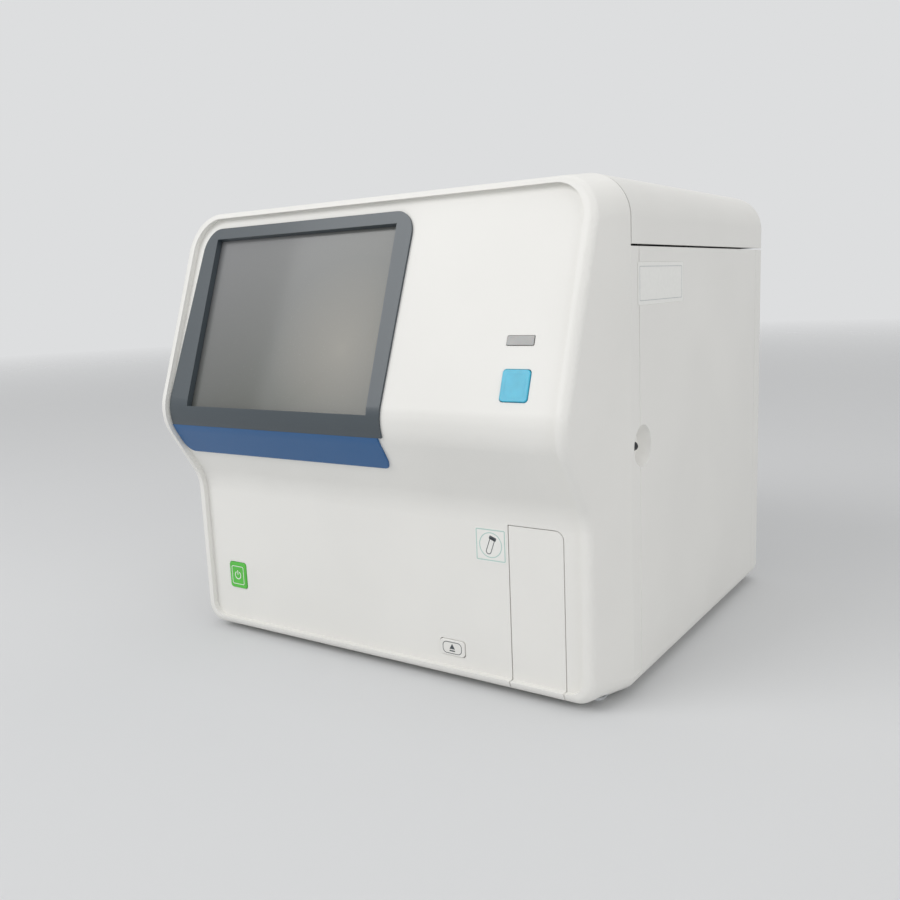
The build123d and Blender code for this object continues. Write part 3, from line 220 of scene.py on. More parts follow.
def moulded(name, base, roughness, grain, relief, coat=0.0, variation=0.03):
    """Injection-moulded plastic: a spark-eroded mould leaves an even fine grain that breaks the gloss,
    and the resin's tone drifts slightly over a hand's width."""
    material, tree, shader, place = new_material(
        name, {"IOR": 1.53, "Coat Weight": coat, "Coat Roughness": 0.12, "Coat IOR": 1.5}
    )
    # The tone drifts over about 120 mm
    drift = add_node(tree, "ShaderNodeTexNoise", {"Scale": per_metre(120), "Detail": 2.0}, {"Vector": place})
    tone = ramp_between(
        tree, drift.outputs["Fac"], 0.35, 0.65, shade(base, 1 - variation), shade(base, 1 + variation)
    )
    tree.links.new(tone, shader.inputs["Base Color"])
    # The real grain is near 0.3 mm, and is drawn coarser so that it shows at this distance
    pits = add_node(
        tree,
        "ShaderNodeTexNoise",
        {"Scale": per_metre(grain / mm), "Detail": 3.0, "Roughness": 0.6},
        {"Vector": place},
    )
    gloss = add_node(
        tree,
        "ShaderNodeMapRange",
        {"To Min": roughness - 0.05, "To Max": roughness + 0.05},
        {"Value": pits.outputs["Fac"]},
    )
    tree.links.new(gloss.outputs["Result"], shader.inputs["Roughness"])
    bump = add_node(
        tree, "ShaderNodeBump", {"Strength": 0.5, "Distance": relief}, {"Height": pits.outputs["Fac"]}
    )
    tree.links.new(bump.outputs["Normal"], shader.inputs["Normal"])
    return material


def touch_panel_glass():
    """Resistive touch panel over an unlit liquid crystal display: an anti-glare film over grey-green glass,
    smooth but slightly milky, with a painted reflection that makes it lighter towards its upper left, and a
    painted warm glow of reflected light at its right."""
    display = settings("display")
    material, tree, shader, place = new_material(
        "anti_glare_touch_glass", {"IOR": 1.5, "Coat Weight": 0.35, "Coat Roughness": 0.08, "Coat IOR": 1.5}
    )
    low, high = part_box("display_glass")
    axes = add_node(tree, "ShaderNodeSeparateXYZ", {}, {"Vector": place})
    fall = add_node(
        tree, "ShaderNodeMapRange", {"From Min": high.z, "From Max": low.z}, {"Value": axes.outputs["Z"]}
    )
    slide = add_node(
        tree, "ShaderNodeMapRange", {"From Min": low.x, "From Max": high.x}, {"Value": axes.outputs["X"]}
    )
    both = add_node(
        tree,
        "ShaderNodeMath",
        {"operation": "ADD"},
        {0: fall.outputs["Result"], 1: slide.outputs["Result"]},
    )
    # Painted reflection: the panel's colour runs lighter towards its upper left
    panel = ramp_between(
        tree, both.outputs["Value"], 0.1, 1.5, tuple(display.screen_painted_reflection), tuple(display.screen)
    )
    # The painted warm glow, which stands in for reflected light, lies to the right of the middle and below it
    shares = (0.8, 0.35, 0.35)
    middle = [low[axis] + (high[axis] - low[axis]) * share for axis, share in enumerate(shares)]
    away = add_node(tree, "ShaderNodeVectorMath", {"operation": "DISTANCE", 1: tuple(middle)}, {0: place})
    # Share of the painted glow, fading out over 80 mm from its middle
    haze = add_node(
        tree,
        "ShaderNodeMapRange",
        {"From Min": 0.0, "From Max": 80 * mm, "To Min": 0.6, "To Max": 0.0},
        {"Value": away.outputs["Value"]},
    )
    picture = add_node(
        tree, "ShaderNodeMix", {"data_type": "RGBA"}, {"Factor": haze.outputs["Result"], 6: panel}
    )
    picture.inputs[7].default_value = tuple(display.screen_painted_glow)
    tree.links.new(picture.outputs[2], shader.inputs["Base Color"])
    # Etched film of about 0.1 mm, drawn at 0.8 mm
    film = add_node(tree, "ShaderNodeTexNoise", {"Scale": per_metre(0.8), "Detail": 1.0}, {"Vector": place})
    gloss = add_node(
        tree, "ShaderNodeMapRange", {"To Min": 0.2, "To Max": 0.3}, {"Value": film.outputs["Fac"]}
    )
    tree.links.new(gloss.outputs["Result"], shader.inputs["Roughness"])
    return material


def frosted_lens(name, base, glow, painted_glow_strength):
    """Frosted polycarbonate over a light-emitting diode: milky, with a slight cloudiness in its tone. The
    diode is unlit; the emission is a painted glow in the key's own colour.
    """
    material, tree, shader, place = new_material(
        name,
        {"IOR": 1.58, "Roughness": 0.32, "Subsurface Weight": 0.1, "Subsurface Scale": 2 * mm},
    )
    clouds = add_node(tree, "ShaderNodeTexNoise", {"Scale": per_metre(9), "Detail": 1.0}, {"Vector": place})
    tone = ramp_between(tree, clouds.outputs["Fac"], 0.3, 0.7, shade(base, 0.94), shade(base, 1.06))
    tree.links.new(tone, shader.inputs["Base Color"])
    # Painted glow: a faint emission in its own colour that brightens an unlit key
    shader.inputs["Emission Color"].default_value = glow
    shader.inputs["Emission Strength"].default_value = painted_glow_strength
    return material


def zinc_plated_steel():
    """Zinc-plated sheet steel: a dull silver with crystal flakes a few millimetres wide."""
    base = linear("#C3C6C8")
    material, tree, shader, place = new_material("zinc_plated_sheet_steel", {"Metallic": 0.9})
    # Crystals of 7 mm
    flakes = add_node(tree, "ShaderNodeTexVoronoi", {"Scale": per_metre(7)}, {"Vector": place})
    grey = add_node(tree, "ShaderNodeRGBToBW", {}, {"Color": flakes.outputs["Color"]})
    tone = ramp_between(tree, grey.outputs["Val"], 0.1, 0.9, shade(base, 0.82), base)
    tree.links.new(tone, shader.inputs["Base Color"])
    gloss = add_node(
        tree, "ShaderNodeMapRange", {"To Min": 0.34, "To Max": 0.52}, {"Value": grey.outputs["Val"]}
    )
    tree.links.new(gloss.outputs["Result"], shader.inputs["Roughness"])
    return material


def drawn_metal(name, base, roughness, grain_mm, stretch):
    """Drawn or milled metal: fine lines run along the work and spread the highlights across it."""
    material, tree, shader, place = new_material(name, {"Metallic": 1.0})
    lined = add_node(tree, "ShaderNodeMapping", {"Scale": stretch}, {"Vector": place})
    lines = add_node(
        tree,
        "ShaderNodeTexNoise",
        {"Scale": per_metre(grain_mm), "Detail": 3.0},
        {"Vector": lined.outputs["Vector"]},
    )
    tone = ramp_between(tree, lines.outputs["Fac"], 0.3, 0.7, shade(base, 0.86), base)
    tree.links.new(tone, shader.inputs["Base Color"])
    gloss = add_node(
        tree,
        "ShaderNodeMapRange",
        {"To Min": roughness - 0.06, "To Max": roughness + 0.08},
        {"Value": lines.outputs["Fac"]},
    )
    tree.links.new(gloss.outputs["Result"], shader.inputs["Roughness"])
    return material


def clear_acrylic(name, base, transmission, roughness):
    """Machined acrylic or moulded polypropylene: light passes through and cut faces look slightly hazed."""
    material, tree, shader, place = new_material(
        name, {"Base Color": base, "IOR": 1.49, "Transmission Weight": transmission}
    )
    haze = add_node(tree, "ShaderNodeTexNoise", {"Scale": per_metre(6), "Detail": 2.0}, {"Vector": place})
    gloss = add_node(
        tree,
        "ShaderNodeMapRange",
        {"To Min": roughness * 0.6, "To Max": roughness * 1.4},
        {"Value": haze.outputs["Fac"]},
    )
    tree.links.new(gloss.outputs["Result"], shader.inputs["Roughness"])
    return material


def nitrile_rubber():
    """Moulded nitrile rubber: matt black with a dusty bloom."""
    base = linear("#1D1D1E")
    material, tree, shader, place = new_material("nitrile_rubber", {"IOR": 1.52})
    bloom = add_node(tree, "ShaderNodeTexNoise", {"Scale": per_metre(5), "Detail": 4.0}, {"Vector": place})
    tone = ramp_between(tree, bloom.outputs["Fac"], 0.4, 0.75, base, linear("#333333"))
    tree.links.new(tone, shader.inputs["Base Color"])
    gloss = add_node(
        tree, "ShaderNodeMapRange", {"To Min": 0.7, "To Max": 0.9}, {"Value": bloom.outputs["Fac"]}
    )
    tree.links.new(gloss.outputs["Result"], shader.inputs["Roughness"])
    return material


def glass_epoxy_board():
    """Glass-epoxy circuit board under green solder mask, with copper tracks showing as lighter bands."""
    material, tree, shader, place = new_material("glass_epoxy_circuit_board", {"IOR": 1.55})
    upright = add_node(tree, "ShaderNodeMapping", {"Rotation": (pi / 2, 0, 0)}, {"Vector": place})
    # Fields of 7 by 3.5 mm, far wider than real tracks, so that they show
    tracks = add_node(
        tree,
        "ShaderNodeTexBrick",
        {
            "Scale": per_metre(14),
            "Color1": linear("#14532F"),
            "Color2": linear("#1B6339"),
            "Mortar": linear("#3C8C58"),
            "Mortar Size": 0.03,
        },
        {"Vector": upright.outputs["Vector"]},
    )
    tree.links.new(tracks.outputs["Color"], shader.inputs["Base Color"])
    gloss = add_node(
        tree, "ShaderNodeMapRange", {"To Min": 0.28, "To Max": 0.4}, {"Value": tracks.outputs["Fac"]}
    )
    tree.links.new(gloss.outputs["Result"], shader.inputs["Roughness"])
    return material


def polyester_film(name, base):
    """Printed polyester label film: smooth, with a faint orange-peel from its adhesive."""
    material, tree, shader, place = new_material(name, {"IOR": 1.57, "Roughness": 0.38})
    peel = add_node(tree, "ShaderNodeTexNoise", {"Scale": per_metre(4), "Detail": 1.0}, {"Vector": place})
    tone = ramp_between(tree, peel.outputs["Fac"], 0.3, 0.7, shade(base, 0.97), base)
    tree.links.new(tone, shader.inputs["Base Color"])
    return material


def make_materials():
    """Every finish of the analyzer by a short name."""
    covers, display, keys, labels = (settings(group) for group in ("covers", "display", "keys", "labels"))
    return {
        "cover": moulded(
            "moulded_abs_cover", tuple(covers.white), 0.46, covers.grain, covers.relief, variation=0.015
        ),
        "slate": moulded(
            "moulded_polycarbonate_bezel", tuple(display.slate), 0.34, 1.2 * mm, 0.01 * mm, coat=0.15
        ),
        "trim": moulded(
            "moulded_polycarbonate_trim", tuple(display.blue), 0.36, 1.2 * mm, 0.01 * mm, coat=0.1
        ),
        "glass": touch_panel_glass(),
        # The keys' emission is a painted glow in their own colour; the lamp has none
        "start": frosted_lens("cyan_polycarbonate_key", tuple(keys.start), tuple(keys.start), 0.06),
        "power": frosted_lens("green_polycarbonate_key", tuple(keys.power), tuple(keys.power), 0.15),
        "lamp": frosted_lens("grey_frosted_lens", tuple(keys.lamp), tuple(keys.lamp), 0.0),
        "key": moulded("moulded_abs_key", tuple(covers.white), 0.4, 1.4 * mm, 0.01 * mm),
        "ink": moulded("pad_printed_ink", tuple(keys.ink), 0.5, 1.0 * mm, 0.004 * mm),
        "gasket": moulded(
            "black_foam_gasket", tuple(display.gasket), 0.8, 2.0 * mm, 0.1 * mm, variation=0.2
        ),
        "black": moulded(
            "glass_filled_polyamide", linear("#1E2022"), 0.48, 1.4 * mm, 0.03 * mm, variation=0.1
        ),
        "grey": moulded("moulded_abs_grey", linear("#9A9FA2"), 0.5, 1.6 * mm, 0.02 * mm),
        "acetal": moulded("turned_acetal", linear("#E3E2DC"), 0.34, 2.0 * mm, 0.01 * mm),
        "polythene": moulded("blown_polyethylene", linear("#E9E8E1"), 0.4, 4.0 * mm, 0.1 * mm),
        "zinc": zinc_plated_steel(),
        "steel": drawn_metal("drawn_stainless_steel", linear("#C9CACB"), 0.24, 1.2, (1.0, 1.0, 0.05)),
        "aluminium": drawn_metal("anodised_aluminium", linear("#B9BDC0"), 0.36, 1.5, (0.08, 1.0, 1.0)),
        "dark_steel": drawn_metal("black_lacquered_steel", linear("#2D3034"), 0.42, 2.0, (1.0, 1.0, 0.1)),
        "acrylic": clear_acrylic("clear_acrylic", linear("#EAF2F4"), 0.85, 0.08),
        "milky": clear_acrylic("natural_polypropylene", linear("#E4E6E1"), 0.35, 0.35),
        "rubber": nitrile_rubber(),
        "board": glass_epoxy_board(),
        "film": polyester_film("polyester_label_film", tuple(labels.film)),
        "mint": polyester_film("mint_label_film", tuple(labels.mint)),
        "rule": polyester_film("grey_label_print", tuple(labels.grey)),
    }


def finish_named(name):
    """Finish by its short name, made once."""
    if not finishes:
        finishes.update(make_materials())
    return finishes[name]


finishes = {}


# Modelling


def clear_selection():
    """Selects nothing, so that the next operator leaves other pieces alone."""
    bpy.ops.object.select_all(action="DESELECT")


def choose(mesh, test):
    """Selects in edit mode the faces that pass the test."""
    bpy.ops.mesh.select_mode(type="FACE")
    bpy.ops.mesh.select_all(action="DESELECT")
    shape = bmesh.from_edit_mesh(mesh)
    for face in shape.faces:
        if test(face):
            face.select_set(True)
    shape.select_flush_mode()
    bmesh.update_edit_mesh(mesh)


def modify(piece, kind, **values):
    """Adds a modifier with its values and applies it."""
    bpy.context.view_layer.objects.active = piece
    modifier = piece.modifiers.new(kind.lower(), kind)
    for name, value in values.items():
        setattr(modifier, name, value)
    bpy.ops.object.modifier_apply(modifier=modifier.name)


def smooth(piece, degrees=35):
    """Shades a piece smooth where its faces meet at less than an angle."""
    clear_selection()
    piece.select_set(True)
    bpy.context.view_layer.objects.active = piece
    bpy.ops.object.shade_smooth_by_angle(angle=radians(degrees))


def outline_plate(width, height, corner):
    """Flat plate with rounded corners at the origin, in edit mode's reach."""
    clear_selection()
    bpy.ops.mesh.primitive_plane_add(size=1)
    piece = bpy.context.object
    piece.scale = (width, height, 1)
    bpy.ops.object.transform_apply(location=False, rotation=False, scale=True)
    bpy.ops.object.mode_set(mode="EDIT")
    bpy.ops.mesh.select_all(action="SELECT")
    if corner:
        bpy.ops.mesh.bevel(offset=corner, segments=8, affect="VERTICES")
    bpy.ops.object.mode_set(mode="OBJECT")
    return piece


def hollow_out(piece, line):
    """Leaves only a line's width round a flat plate's edge."""
    bpy.context.view_layer.objects.active = piece
    bpy.ops.object.mode_set(mode="EDIT")
    bpy.ops.mesh.select_mode(type="FACE")
    bpy.ops.mesh.select_all(action="SELECT")
    bpy.ops.mesh.inset(thickness=line, use_even_offset=True)
    bpy.ops.mesh.delete(type="FACE")
    bpy.ops.object.mode_set(mode="OBJECT")


def thicken(piece, height, edge):
    """Gives a flat plate its height above its own plane, with eased edges."""
    modify(piece, "SOLIDIFY", thickness=height, offset=1)
    if edge:
        modify(piece, "BEVEL", width=edge, segments=2, limit_method="ANGLE")


def joined(pieces):
    """One piece made of several."""
    clear_selection()
    for piece in pieces:
        piece.select_set(True)
    bpy.context.view_layer.objects.active = pieces[0]
    bpy.ops.object.join()
    return bpy.context.object


def settle(piece, name, place, body, material):
    """Puts a piece modelled at the origin in its place, and makes it ride on its body."""
    piece.name = name
    piece.data.name = name
    piece.data.transform(place)
    piece.data.materials.clear()
    piece.data.materials.append(finish_named(material))
    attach(piece, body)
    return piece


def panel_place(name, lean):
    """Place at the middle of a CAD node's front face, which leans back."""
    out = Vector((0, -cos(lean), sin(lean)))
    rise = Vector((0, sin(lean), cos(lean)))
    points = [vertex.co for vertex in nodes[name].data.vertices]
    front = max(point.dot(out) for point in points)
    face = [point for point in points if front - point.dot(out) < 0.01 * mm]
    middle_x = (min(point.x for point in face) + max(point.x for point in face)) / 2
    middle_up = (min(point.dot(rise) for point in face) + max(point.dot(rise) for point in face)) / 2
    centre = out * front + rise * middle_up + Vector((middle_x, 0, 0))
    return Matrix.Translation(centre) @ Matrix.Rotation(pi / 2 - lean, 4, "X")


def body_of(name):
    """Body that a CAD node rides on."""
    groups = frame["record"]["behaviour"]["bodies"]
    return next(body for body, members in groups.items() if name in members)


def refined(name, material, edge=0.0, angle=35, reshape=None):
    """Merged copy of a CAD node that replaces it, with sharp edges eased and curves shaded smooth."""
    mesh = nodes[name].data.copy()
    piece = bpy.data.objects.new(name + "_refined", mesh)
    bpy.context.scene.collection.objects.link(piece)
    clear_selection()
    piece.select_set(True)
    bpy.context.view_layer.objects.active = piece
    bpy.ops.object.mode_set(mode="EDIT")
    bpy.ops.mesh.select_all(action="SELECT")
    bpy.ops.mesh.remove_doubles(threshold=0.002 * mm)
    bpy.ops.object.mode_set(mode="OBJECT")
    if reshape:
        reshape(piece)
    bpy.ops.object.mode_set(mode="EDIT")
    bpy.ops.mesh.select_all(action="SELECT")
    bpy.ops.mesh.remove_doubles(threshold=0.002 * mm)
    bpy.ops.mesh.dissolve_degenerate(threshold=0.001 * mm)
    bpy.ops.mesh.dissolve_limited(angle_limit=radians(0.5))
    bpy.ops.object.mode_set(mode="OBJECT")
    if edge:
        modify(piece, "BEVEL", width=edge, segments=2, limit_method="ANGLE", angle_limit=radians(50))
    smooth(piece, angle)
    # Large flat faces keep their own normals beside the rounds
    modify(piece, "WEIGHTED_NORMAL", keep_sharp=True)
    mesh.materials.clear()
    mesh.materials.append(finish_named(material))
    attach(piece, body_of(name))
    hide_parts(name)
    return piece


def dress(material, *names):
    """Gives CAD nodes a better material."""
    for name in names:
        mesh = nodes[name].data
        for place in range(max(1, len(mesh.materials))):
            if mesh.materials:
                nodes[name].material_slots[place].material = finish_named(material)
            else:
                mesh.materials.append(finish_named(material))


def side_label_place(sunk):
    """Place of the label on the right side panel, sunk below the panel's face."""
    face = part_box("right_side_panel")[1].x
    turn = Matrix.Rotation(pi / 2, 4, "Z") @ Matrix.Rotation(pi / 2, 4, "X")
    return Matrix.Translation((face - sunk, *side_label_middle)) @ turn


class ANALYZER_OT_stage(bpy.types.Operator):
    """Adds the camera, the pale floor and the soft lamps."""

    bl_idname = "analyzer.stage"
    bl_label = "Stage"

    def execute(self, context):
        stage = settings("stage")
        scene = context.scene
        camera = bpy.data.objects.new("camera", bpy.data.cameras.new("camera"))
        scene.collection.objects.link(camera)
        camera.location = stage.camera_place
        camera.rotation_euler = stage.camera_turn
        camera.data.lens = stage.lens
        camera.data.sensor_width = 36
        camera.data.clip_start = 0.05
        scene.camera = camera
        scene.view_settings.view_transform = "Standard"

        clear_selection()
        bpy.ops.mesh.primitive_plane_add(size=24)
        floor = context.object
        floor.name = "floor"
        floor.data.materials.append(self.floor_material(stage))

        lamps = (
            ("key_lamp", (-1.3, -2.2, 2.2), 2.0, stage.key),
            ("fill_lamp", (2.6, -1.0, 1.5), 2.0, stage.fill),
            ("top_lamp", (0.3, 0.4, 2.8), 2.4, stage.top),
        )
        for name, place, size, power in lamps:
            lamp = bpy.data.objects.new(name, bpy.data.lights.new(name, "AREA"))
            scene.collection.objects.link(lamp)
            lamp.data.size = size
            lamp.data.energy = power
            lamp.location = place
            aim = Vector((0, 0, 200 * mm)) - Vector(place)
            lamp.rotation_euler = aim.to_track_quat("-Z", "Y").to_euler()
        self.light_room(scene, stage)
        return {"FINISHED"}

    def floor_material(self, stage):
        """Pale matt floor that fades into the backdrop far from the analyzer."""
        material, tree, shader, place = new_material(
            "matt_studio_floor",
            {"Base Color": tuple(stage.floor), "Roughness": 0.9, "Specular IOR Level": 0.2},
        )
        reach = add_node(tree, "ShaderNodeVectorMath", {"operation": "LENGTH"}, {0: place})
        far = add_node(
            tree, "ShaderNodeMapRange", {"From Min": 1.2, "From Max": 6.0}, {"Value": reach.outputs["Value"]}
        )
        clear = add_node(tree, "ShaderNodeBsdfTransparent")
        blend = add_node(
            tree,
            "ShaderNodeMixShader",
            {},
            {0: far.outputs["Result"], 1: shader.outputs["BSDF"], 2: clear.outputs["BSDF"]},
        )
        tree.links.new(blend.outputs["Shader"], tree.nodes["Material Output"].inputs["Surface"])
        return material

    def light_room(self, scene, stage):
        """Even room light, with the pale backdrop seen by the camera and in glossy or clear surfaces."""
        world = bpy.data.worlds.new("studio")
        scene.world = world
        world.use_nodes = True
        tree = world.node_tree
        rays = add_node(tree, "ShaderNodeLightPath")
        seen = add_node(
            tree,
            "ShaderNodeMath",
            {"operation": "MAXIMUM"},
            {0: rays.outputs["Is Camera Ray"], 1: rays.outputs["Is Transmission Ray"]},
        )
        shown = add_node(
            tree,
            "ShaderNodeMath",
            {"operation": "MAXIMUM"},
            {0: seen.outputs["Value"], 1: rays.outputs["Is Glossy Ray"]},
        )
        room = tree.nodes["Background"]
        room.inputs["Color"].default_value = (1, 1, 1, 1)
        room.inputs["Strength"].default_value = stage.room
        backdrop = add_node(tree, "ShaderNodeBackground", {"Color": tuple(stage.backdrop), "Strength": 1.0})
        blend = add_node(
            tree,
            "ShaderNodeMixShader",
            {},
            {0: shown.outputs["Value"], 1: room.outputs["Background"], 2: backdrop.outputs["Background"]},
        )
        tree.links.new(blend.outputs["Shader"], tree.nodes["World Output"].inputs["Surface"])


class ANALYZER_OT_covers(bpy.types.Operator):
    """Finishes the moulded covers, the lid and the drawer's door."""

    bl_idname = "analyzer.covers"
    bl_label = "Covers"

    def execute(self, context):
        edge = settings("covers").edge
        for name in ("left_side_panel", "rear_cover", "top_lid", "tube_door", "front_cover"):
            refined(name, "cover", edge)
        refined("right_side_panel", "cover", edge, reshape=self.label_recess)
        return {"FINISHED"}

    def label_recess(self, piece):
        """Sinks the side label's place, so that the label lies flush with the panel."""
        labels, keys = settings("labels"), settings("keys")
        spare = 2 * side_label_clearance
        cutter = outline_plate(side_label_width + spare, side_label_height + spare, side_label_corner)
        thicken(cutter, 1 * mm, 0)
        cutter.data.transform(side_label_place(labels.thickness + keys.ink_height))
        clear_selection()
        piece.select_set(True)
        modify(piece, "BOOLEAN", operation="DIFFERENCE", solver="EXACT", object=cutter)
        bpy.data.objects.remove(cutter)


class ANALYZER_OT_display(bpy.types.Operator):
    """Finishes the display, its bezel and the trim under the nose."""

    bl_idname = "analyzer.display"
    bl_label = "Display"

    def execute(self, context):
        refined("display_bezel", "slate", 0.7 * mm, reshape=self.slant_bezel)
        refined("nose_trim", "trim", settings("covers").edge, reshape=self.raise_trim)
        dress("glass", "display_glass")
        dress("zinc", "display_module")
        self.gasket()
        return {"FINISHED"}

    def slant_bezel(self, piece):
        """Slants the bezel's side edges: wider at the nose's left and narrower at its right."""
        rise = Vector((0, sin(incline_lean), cos(incline_lean)))
        # Outer edges move by the full shift, and what lies this side of the hinge lines stays
        nose_end = -198 * mm
        left_hinge, left_span = -180 * mm, 14.05 * mm
        right_hinge, right_span = 36 * mm, 16.45 * mm
        for vertex in piece.data.vertices:
            share = min(max((vertex.co.dot(rise) - nose_top.dot(rise)) / bezel_reach, 0), 1)
            x = vertex.co.x
            if x < nose_end:
                vertex.co.x = x + 1 * mm
            elif x < left_hinge:
                vertex.co.x = x + (9 * share - 6.96) * mm * (left_hinge - x) / left_span
            elif x > right_hinge:
                vertex.co.x = x + (3.9 * share - 5.95) * mm * (x - right_hinge) / right_span

    def raise_trim(self, piece):
        """Ends the trim a little higher and further left, as its moulding does."""
        up = Vector((0, -sin(undercut_lean), cos(undercut_lean))) * 5.3 * mm
        lower_end = 190.5 * mm
        right_hinge, right_span, right_shift = 36 * mm, 10.45 * mm, 4.45 * mm
        for vertex in piece.data.vertices:
            if vertex.co.z < lower_end:
                vertex.co += up
            if vertex.co.x > right_hinge:
                vertex.co.x -= right_shift * (vertex.co.x - right_hinge) / right_span

    def gasket(self):
        """Black foam line round the touch panel, at the foot of the bezel's walls."""
        display = settings("display")
        place = panel_place("display_glass", incline_lean)
        low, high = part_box("display_glass")
        width = high.x - low.x
        points = [place.inverted() @ vertex.co for vertex in nodes["display_glass"].data.vertices]
        height = max(p.y for p in points) - min(p.y for p in points)
        piece = outline_plate(width, height, 0.5 * mm)
        hollow_out(piece, display.gasket_width)
        thicken(piece, 0.3 * mm, 0.05 * mm)
        settle(piece, "screen_gasket", place, "housing", "gasket")


class ANALYZER_OT_keys(bpy.types.Operator):
    """Finishes the push keys and the status lamp, and prints their symbols."""

    bl_idname = "analyzer.keys"
    bl_label = "Keys"

    def execute(self, context):
        refined("start_button", "start", 0)
        refined("power_button", "power", 0)
        refined("eject_button", "key", 0)
        refined("status_lens", "lamp", 0)
        dress("black", "switch_bodies")
        keys = settings("keys")
        start = outline_plate(17 * mm, 18 * mm, 2.5 * mm)
        hollow_out(start, keys.line * 0.6)
        thicken(start, keys.ink_height, 0)
        place = panel_place("start_button", incline_lean)
        settle(start, "start_outline", place, "start_key", "start")
        self.power_symbol(keys)
        self.eject_symbol(keys)
        return {"FINISHED"}

    def power_symbol(self, keys):
        """Open ring with a bar in its gap, inside a square outline."""
        clear_selection()
        bpy.ops.mesh.primitive_circle_add(vertices=48, radius=4.2 * mm, fill_type="NGON")
        ring = bpy.context.object
        hollow_out(ring, keys.line)
        bpy.ops.object.mode_set(mode="EDIT")
        choose(ring.data, self.in_gap)
        bpy.ops.mesh.delete(type="FACE")
        bpy.ops.object.mode_set(mode="OBJECT")
        bar = outline_plate(keys.line, 4.6 * mm, 0.2 * mm)
        bar.data.transform(Matrix.Translation((0, 2.7 * mm, 0)))
        square = outline_plate(16 * mm, 18.5 * mm, 2 * mm)
        hollow_out(square, keys.line * 0.7)
        symbol = joined([ring, bar, square])
        thicken(symbol, keys.ink_height, 0)
        settle(symbol, "power_symbol", panel_place("power_button", 0), "power_key", "film")

    def in_gap(self, face):
        """True for a face of the ring within half a radian of its top."""
        middle = face.calc_center_median()
        return abs(atan2(middle.x, middle.y)) < 0.5

    def eject_symbol(self, keys):
        """Triangle over a bar, inside a rounded outline."""
        clear_selection()
        bpy.ops.mesh.primitive_circle_add(
            vertices=3, radius=3.1 * mm, fill_type="NGON", location=(0, 0.5 * mm, 0)
        )
        triangle = bpy.context.object
        bpy.ops.object.transform_apply(location=True)
        bar = outline_plate(5.4 * mm, 1.1 * mm, 0.1 * mm)
        bar.data.transform(Matrix.Translation((0, -2.6 * mm, 0)))
        border = outline_plate(19 * mm, 10.4 * mm, 4 * mm)
        hollow_out(border, keys.line * 0.6)
        symbol = joined([triangle, bar, border])
        thicken(symbol, keys.ink_height, 0)
        settle(symbol, "eject_symbol", panel_place("eject_button", 0), "eject_key", "ink")


class ANALYZER_OT_labels(bpy.types.Operator):
    """Adds the bare labels: the round pictogram beside the drawer and the film on the right side."""

    bl_idname = "analyzer.labels"
    bl_label = "Labels"

    def execute(self, context):
        self.door_label()
        self.side_label()
        return {"FINISHED"}

    def door_label(self):
        """Square film with a mint border, a ring and a sample tube's outline."""
        labels, keys = settings("labels"), settings("keys")
        place = Matrix.Translation(door_label_middle) @ Matrix.Rotation(pi / 2, 4, "X")
        base = outline_plate(door_label_width, door_label_height, 1.5 * mm)
        thicken(base, labels.thickness, 0.05 * mm)
        settle(base, "door_label_film", place, "housing", "film")
        border = outline_plate(door_label_width - 2 * mm, door_label_height - 2 * mm, 1.2 * mm)
        hollow_out(border, 0.9 * mm)
        clear_selection()
        bpy.ops.mesh.primitive_circle_add(vertices=64, radius=10.6 * mm, fill_type="NGON")
        ring = bpy.context.object
        hollow_out(ring, 0.8 * mm)
        printed = joined([border, ring])
        thicken(printed, keys.ink_height, 0)
        lift = Matrix.Translation((0, 0, labels.thickness))
        settle(printed, "door_label_print", place @ lift, "housing", "mint")
        tube = outline_plate(5 * mm, 14 * mm, 2.4 * mm)
        hollow_out(tube, 0.6 * mm)
        cap = outline_plate(6.4 * mm, 3 * mm, 0.6 * mm)
        cap.data.transform(Matrix.Translation((0, 7 * mm, 0)))
        drawn = joined([tube, cap])
        thicken(drawn, keys.ink_height, 0)
        turned = place @ lift @ Matrix.Rotation(radians(-20), 4, "Z") @ Matrix.Translation((0, -1 * mm, 0))
        settle(drawn, "door_label_tube", turned, "housing", "ink")

    def side_label(self):
        """Bare film on the right side panel, with a thin grey rule near its edge."""
        labels, keys = settings("labels"), settings("keys")
        place = side_label_place(labels.thickness + keys.ink_height)
        base = outline_plate(side_label_width, side_label_height, side_label_corner)
        thicken(base, labels.thickness, 0.05 * mm)
        settle(base, "side_label_film", place, "housing", "film")
        rule = outline_plate(side_label_width - 6 * mm, side_label_height - 6 * mm, 1 * mm)
        hollow_out(rule, 0.5 * mm)
        thicken(rule, keys.ink_height, 0)
        lift = Matrix.Translation((0, 0, labels.thickness))
        settle(rule, "side_label_rule", place @ lift, "housing", "rule")


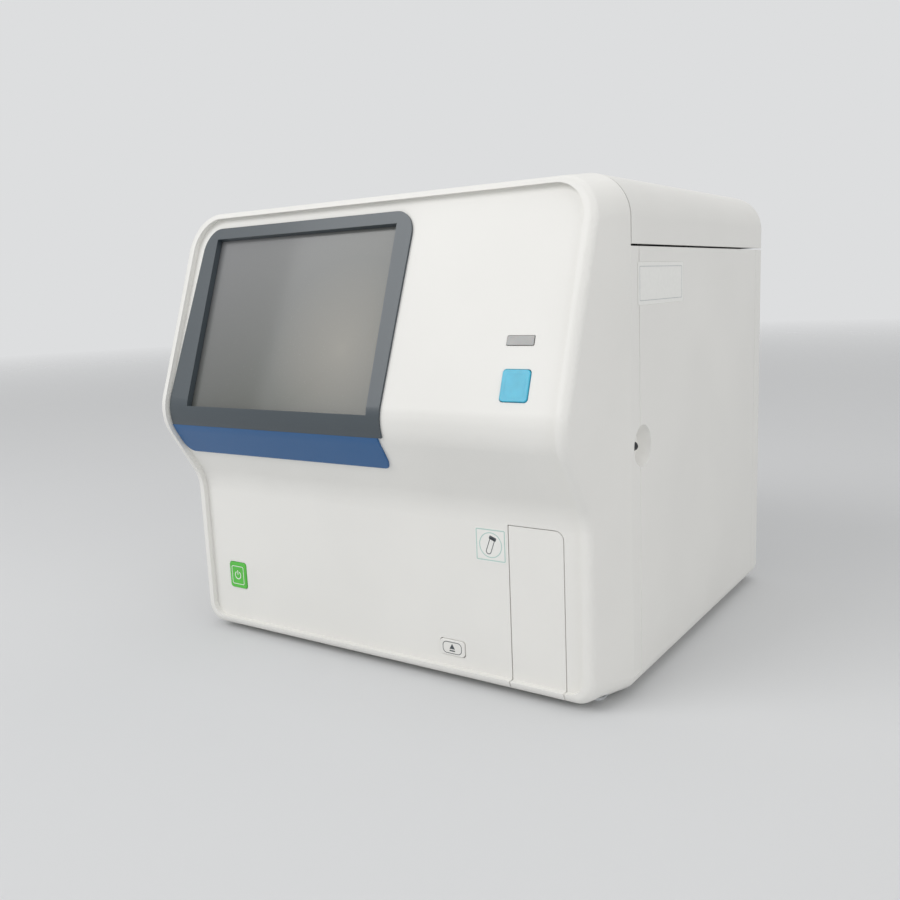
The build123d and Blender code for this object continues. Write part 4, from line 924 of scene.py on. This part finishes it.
class ANALYZER_OT_inside(bpy.types.Operator):
    """Finishes the chassis, the drawer, the piercer and the fluid parts inside."""

    bl_idname = "analyzer.inside"
    bl_label = "Inside"

    def execute(self, context):
        dress("zinc", "base_plate", "left_frame", "right_frame", "bulkhead", "top_deck", "rear_panel")
        dress("zinc", "hinge_brackets", "piercer_column", "syringe_frame", "power_supply")
        dress("steel", "foot_screws", "hinge_pins", "sample_needle", "piercer_screw", "drawer_rail")
        dress("aluminium", "piercer_carriage", "optical_bench", "laser_module", "light_detector")
        dress("aluminium", "drawer_carriage")
        dress("acrylic", "mixing_chambers", "syringe_barrel", "flow_cell", "rinse_cup", "valve_manifold")
        dress("milky", "waste_chamber")
        dress("acetal", "tube_holder", "count_detector", "syringe_plunger")
        dress("grey", "reagent_holder")
        dress("polythene", "reagent_cartridges")
        dress("dark_steel", "stepper_motors", "solenoid_valves", "cover_screw")
        dress("black", "diaphragm_pumps")
        dress("rubber", "rubber_feet", "lid_bumpers")
        dress("board", "main_board")
        return {"FINISHED"}


class ANALYZER_OT_rear(bpy.types.Operator):
    """Finishes the rear connectors, the mains inlet and the fan."""

    bl_idname = "analyzer.rear"
    bl_label = "Rear"

    def execute(self, context):
        dress("black", "power_entry", "main_rocker", "fan_frame", "fan_rotor", "data_ports")
        dress("acetal", "fluid_nipples")
        dress("steel", "fan_guard")
        return {"FINISHED"}


class ANALYZER_PT_panel(bpy.types.Panel):
    """Lists the analyzer's operators and settings."""

    bl_idname = "ANALYZER_PT_panel"
    bl_label = "Hematology analyzer"
    bl_space_type = "VIEW_3D"
    bl_region_type = "UI"
    bl_category = "Analyzer"

    def draw(self, context):
        for operator in operators:
            self.layout.operator(operator.bl_idname)
        for group, kind in groups.items():
            box = self.layout.box()
            box.label(text=kind.__doc__)
            for name in kind.__annotations__:
                box.prop(settings(group), name)


groups = {
    "covers": AnalyzerCovers,
    "display": AnalyzerDisplay,
    "keys": AnalyzerKeys,
    "labels": AnalyzerLabels,
    "stage": AnalyzerStage,
}
operators = (
    ANALYZER_OT_stage,
    ANALYZER_OT_covers,
    ANALYZER_OT_display,
    ANALYZER_OT_keys,
    ANALYZER_OT_labels,
    ANALYZER_OT_inside,
    ANALYZER_OT_rear,
)


def register():
    """Registers the classes and the scene's settings."""
    for kind in (*groups.values(), *operators, ANALYZER_PT_panel):
        bpy.utils.register_class(kind)
    for name, kind in groups.items():
        setattr(bpy.types.Scene, "analyzer_" + name, PointerProperty(type=kind))


def unregister():
    """Removes the classes and the scene's settings."""
    for name in groups:
        delattr(bpy.types.Scene, "analyzer_" + name)
    for kind in reversed((*groups.values(), *operators, ANALYZER_PT_panel)):
        bpy.utils.unregister_class(kind)


def main():
    """Registers the classes and builds the analyzer's looks."""
    register()
    for operator in operators:
        group, name = operator.bl_idname.split(".")
        getattr(getattr(bpy.ops, group), name)()


if __name__ == "__main__":
    main()
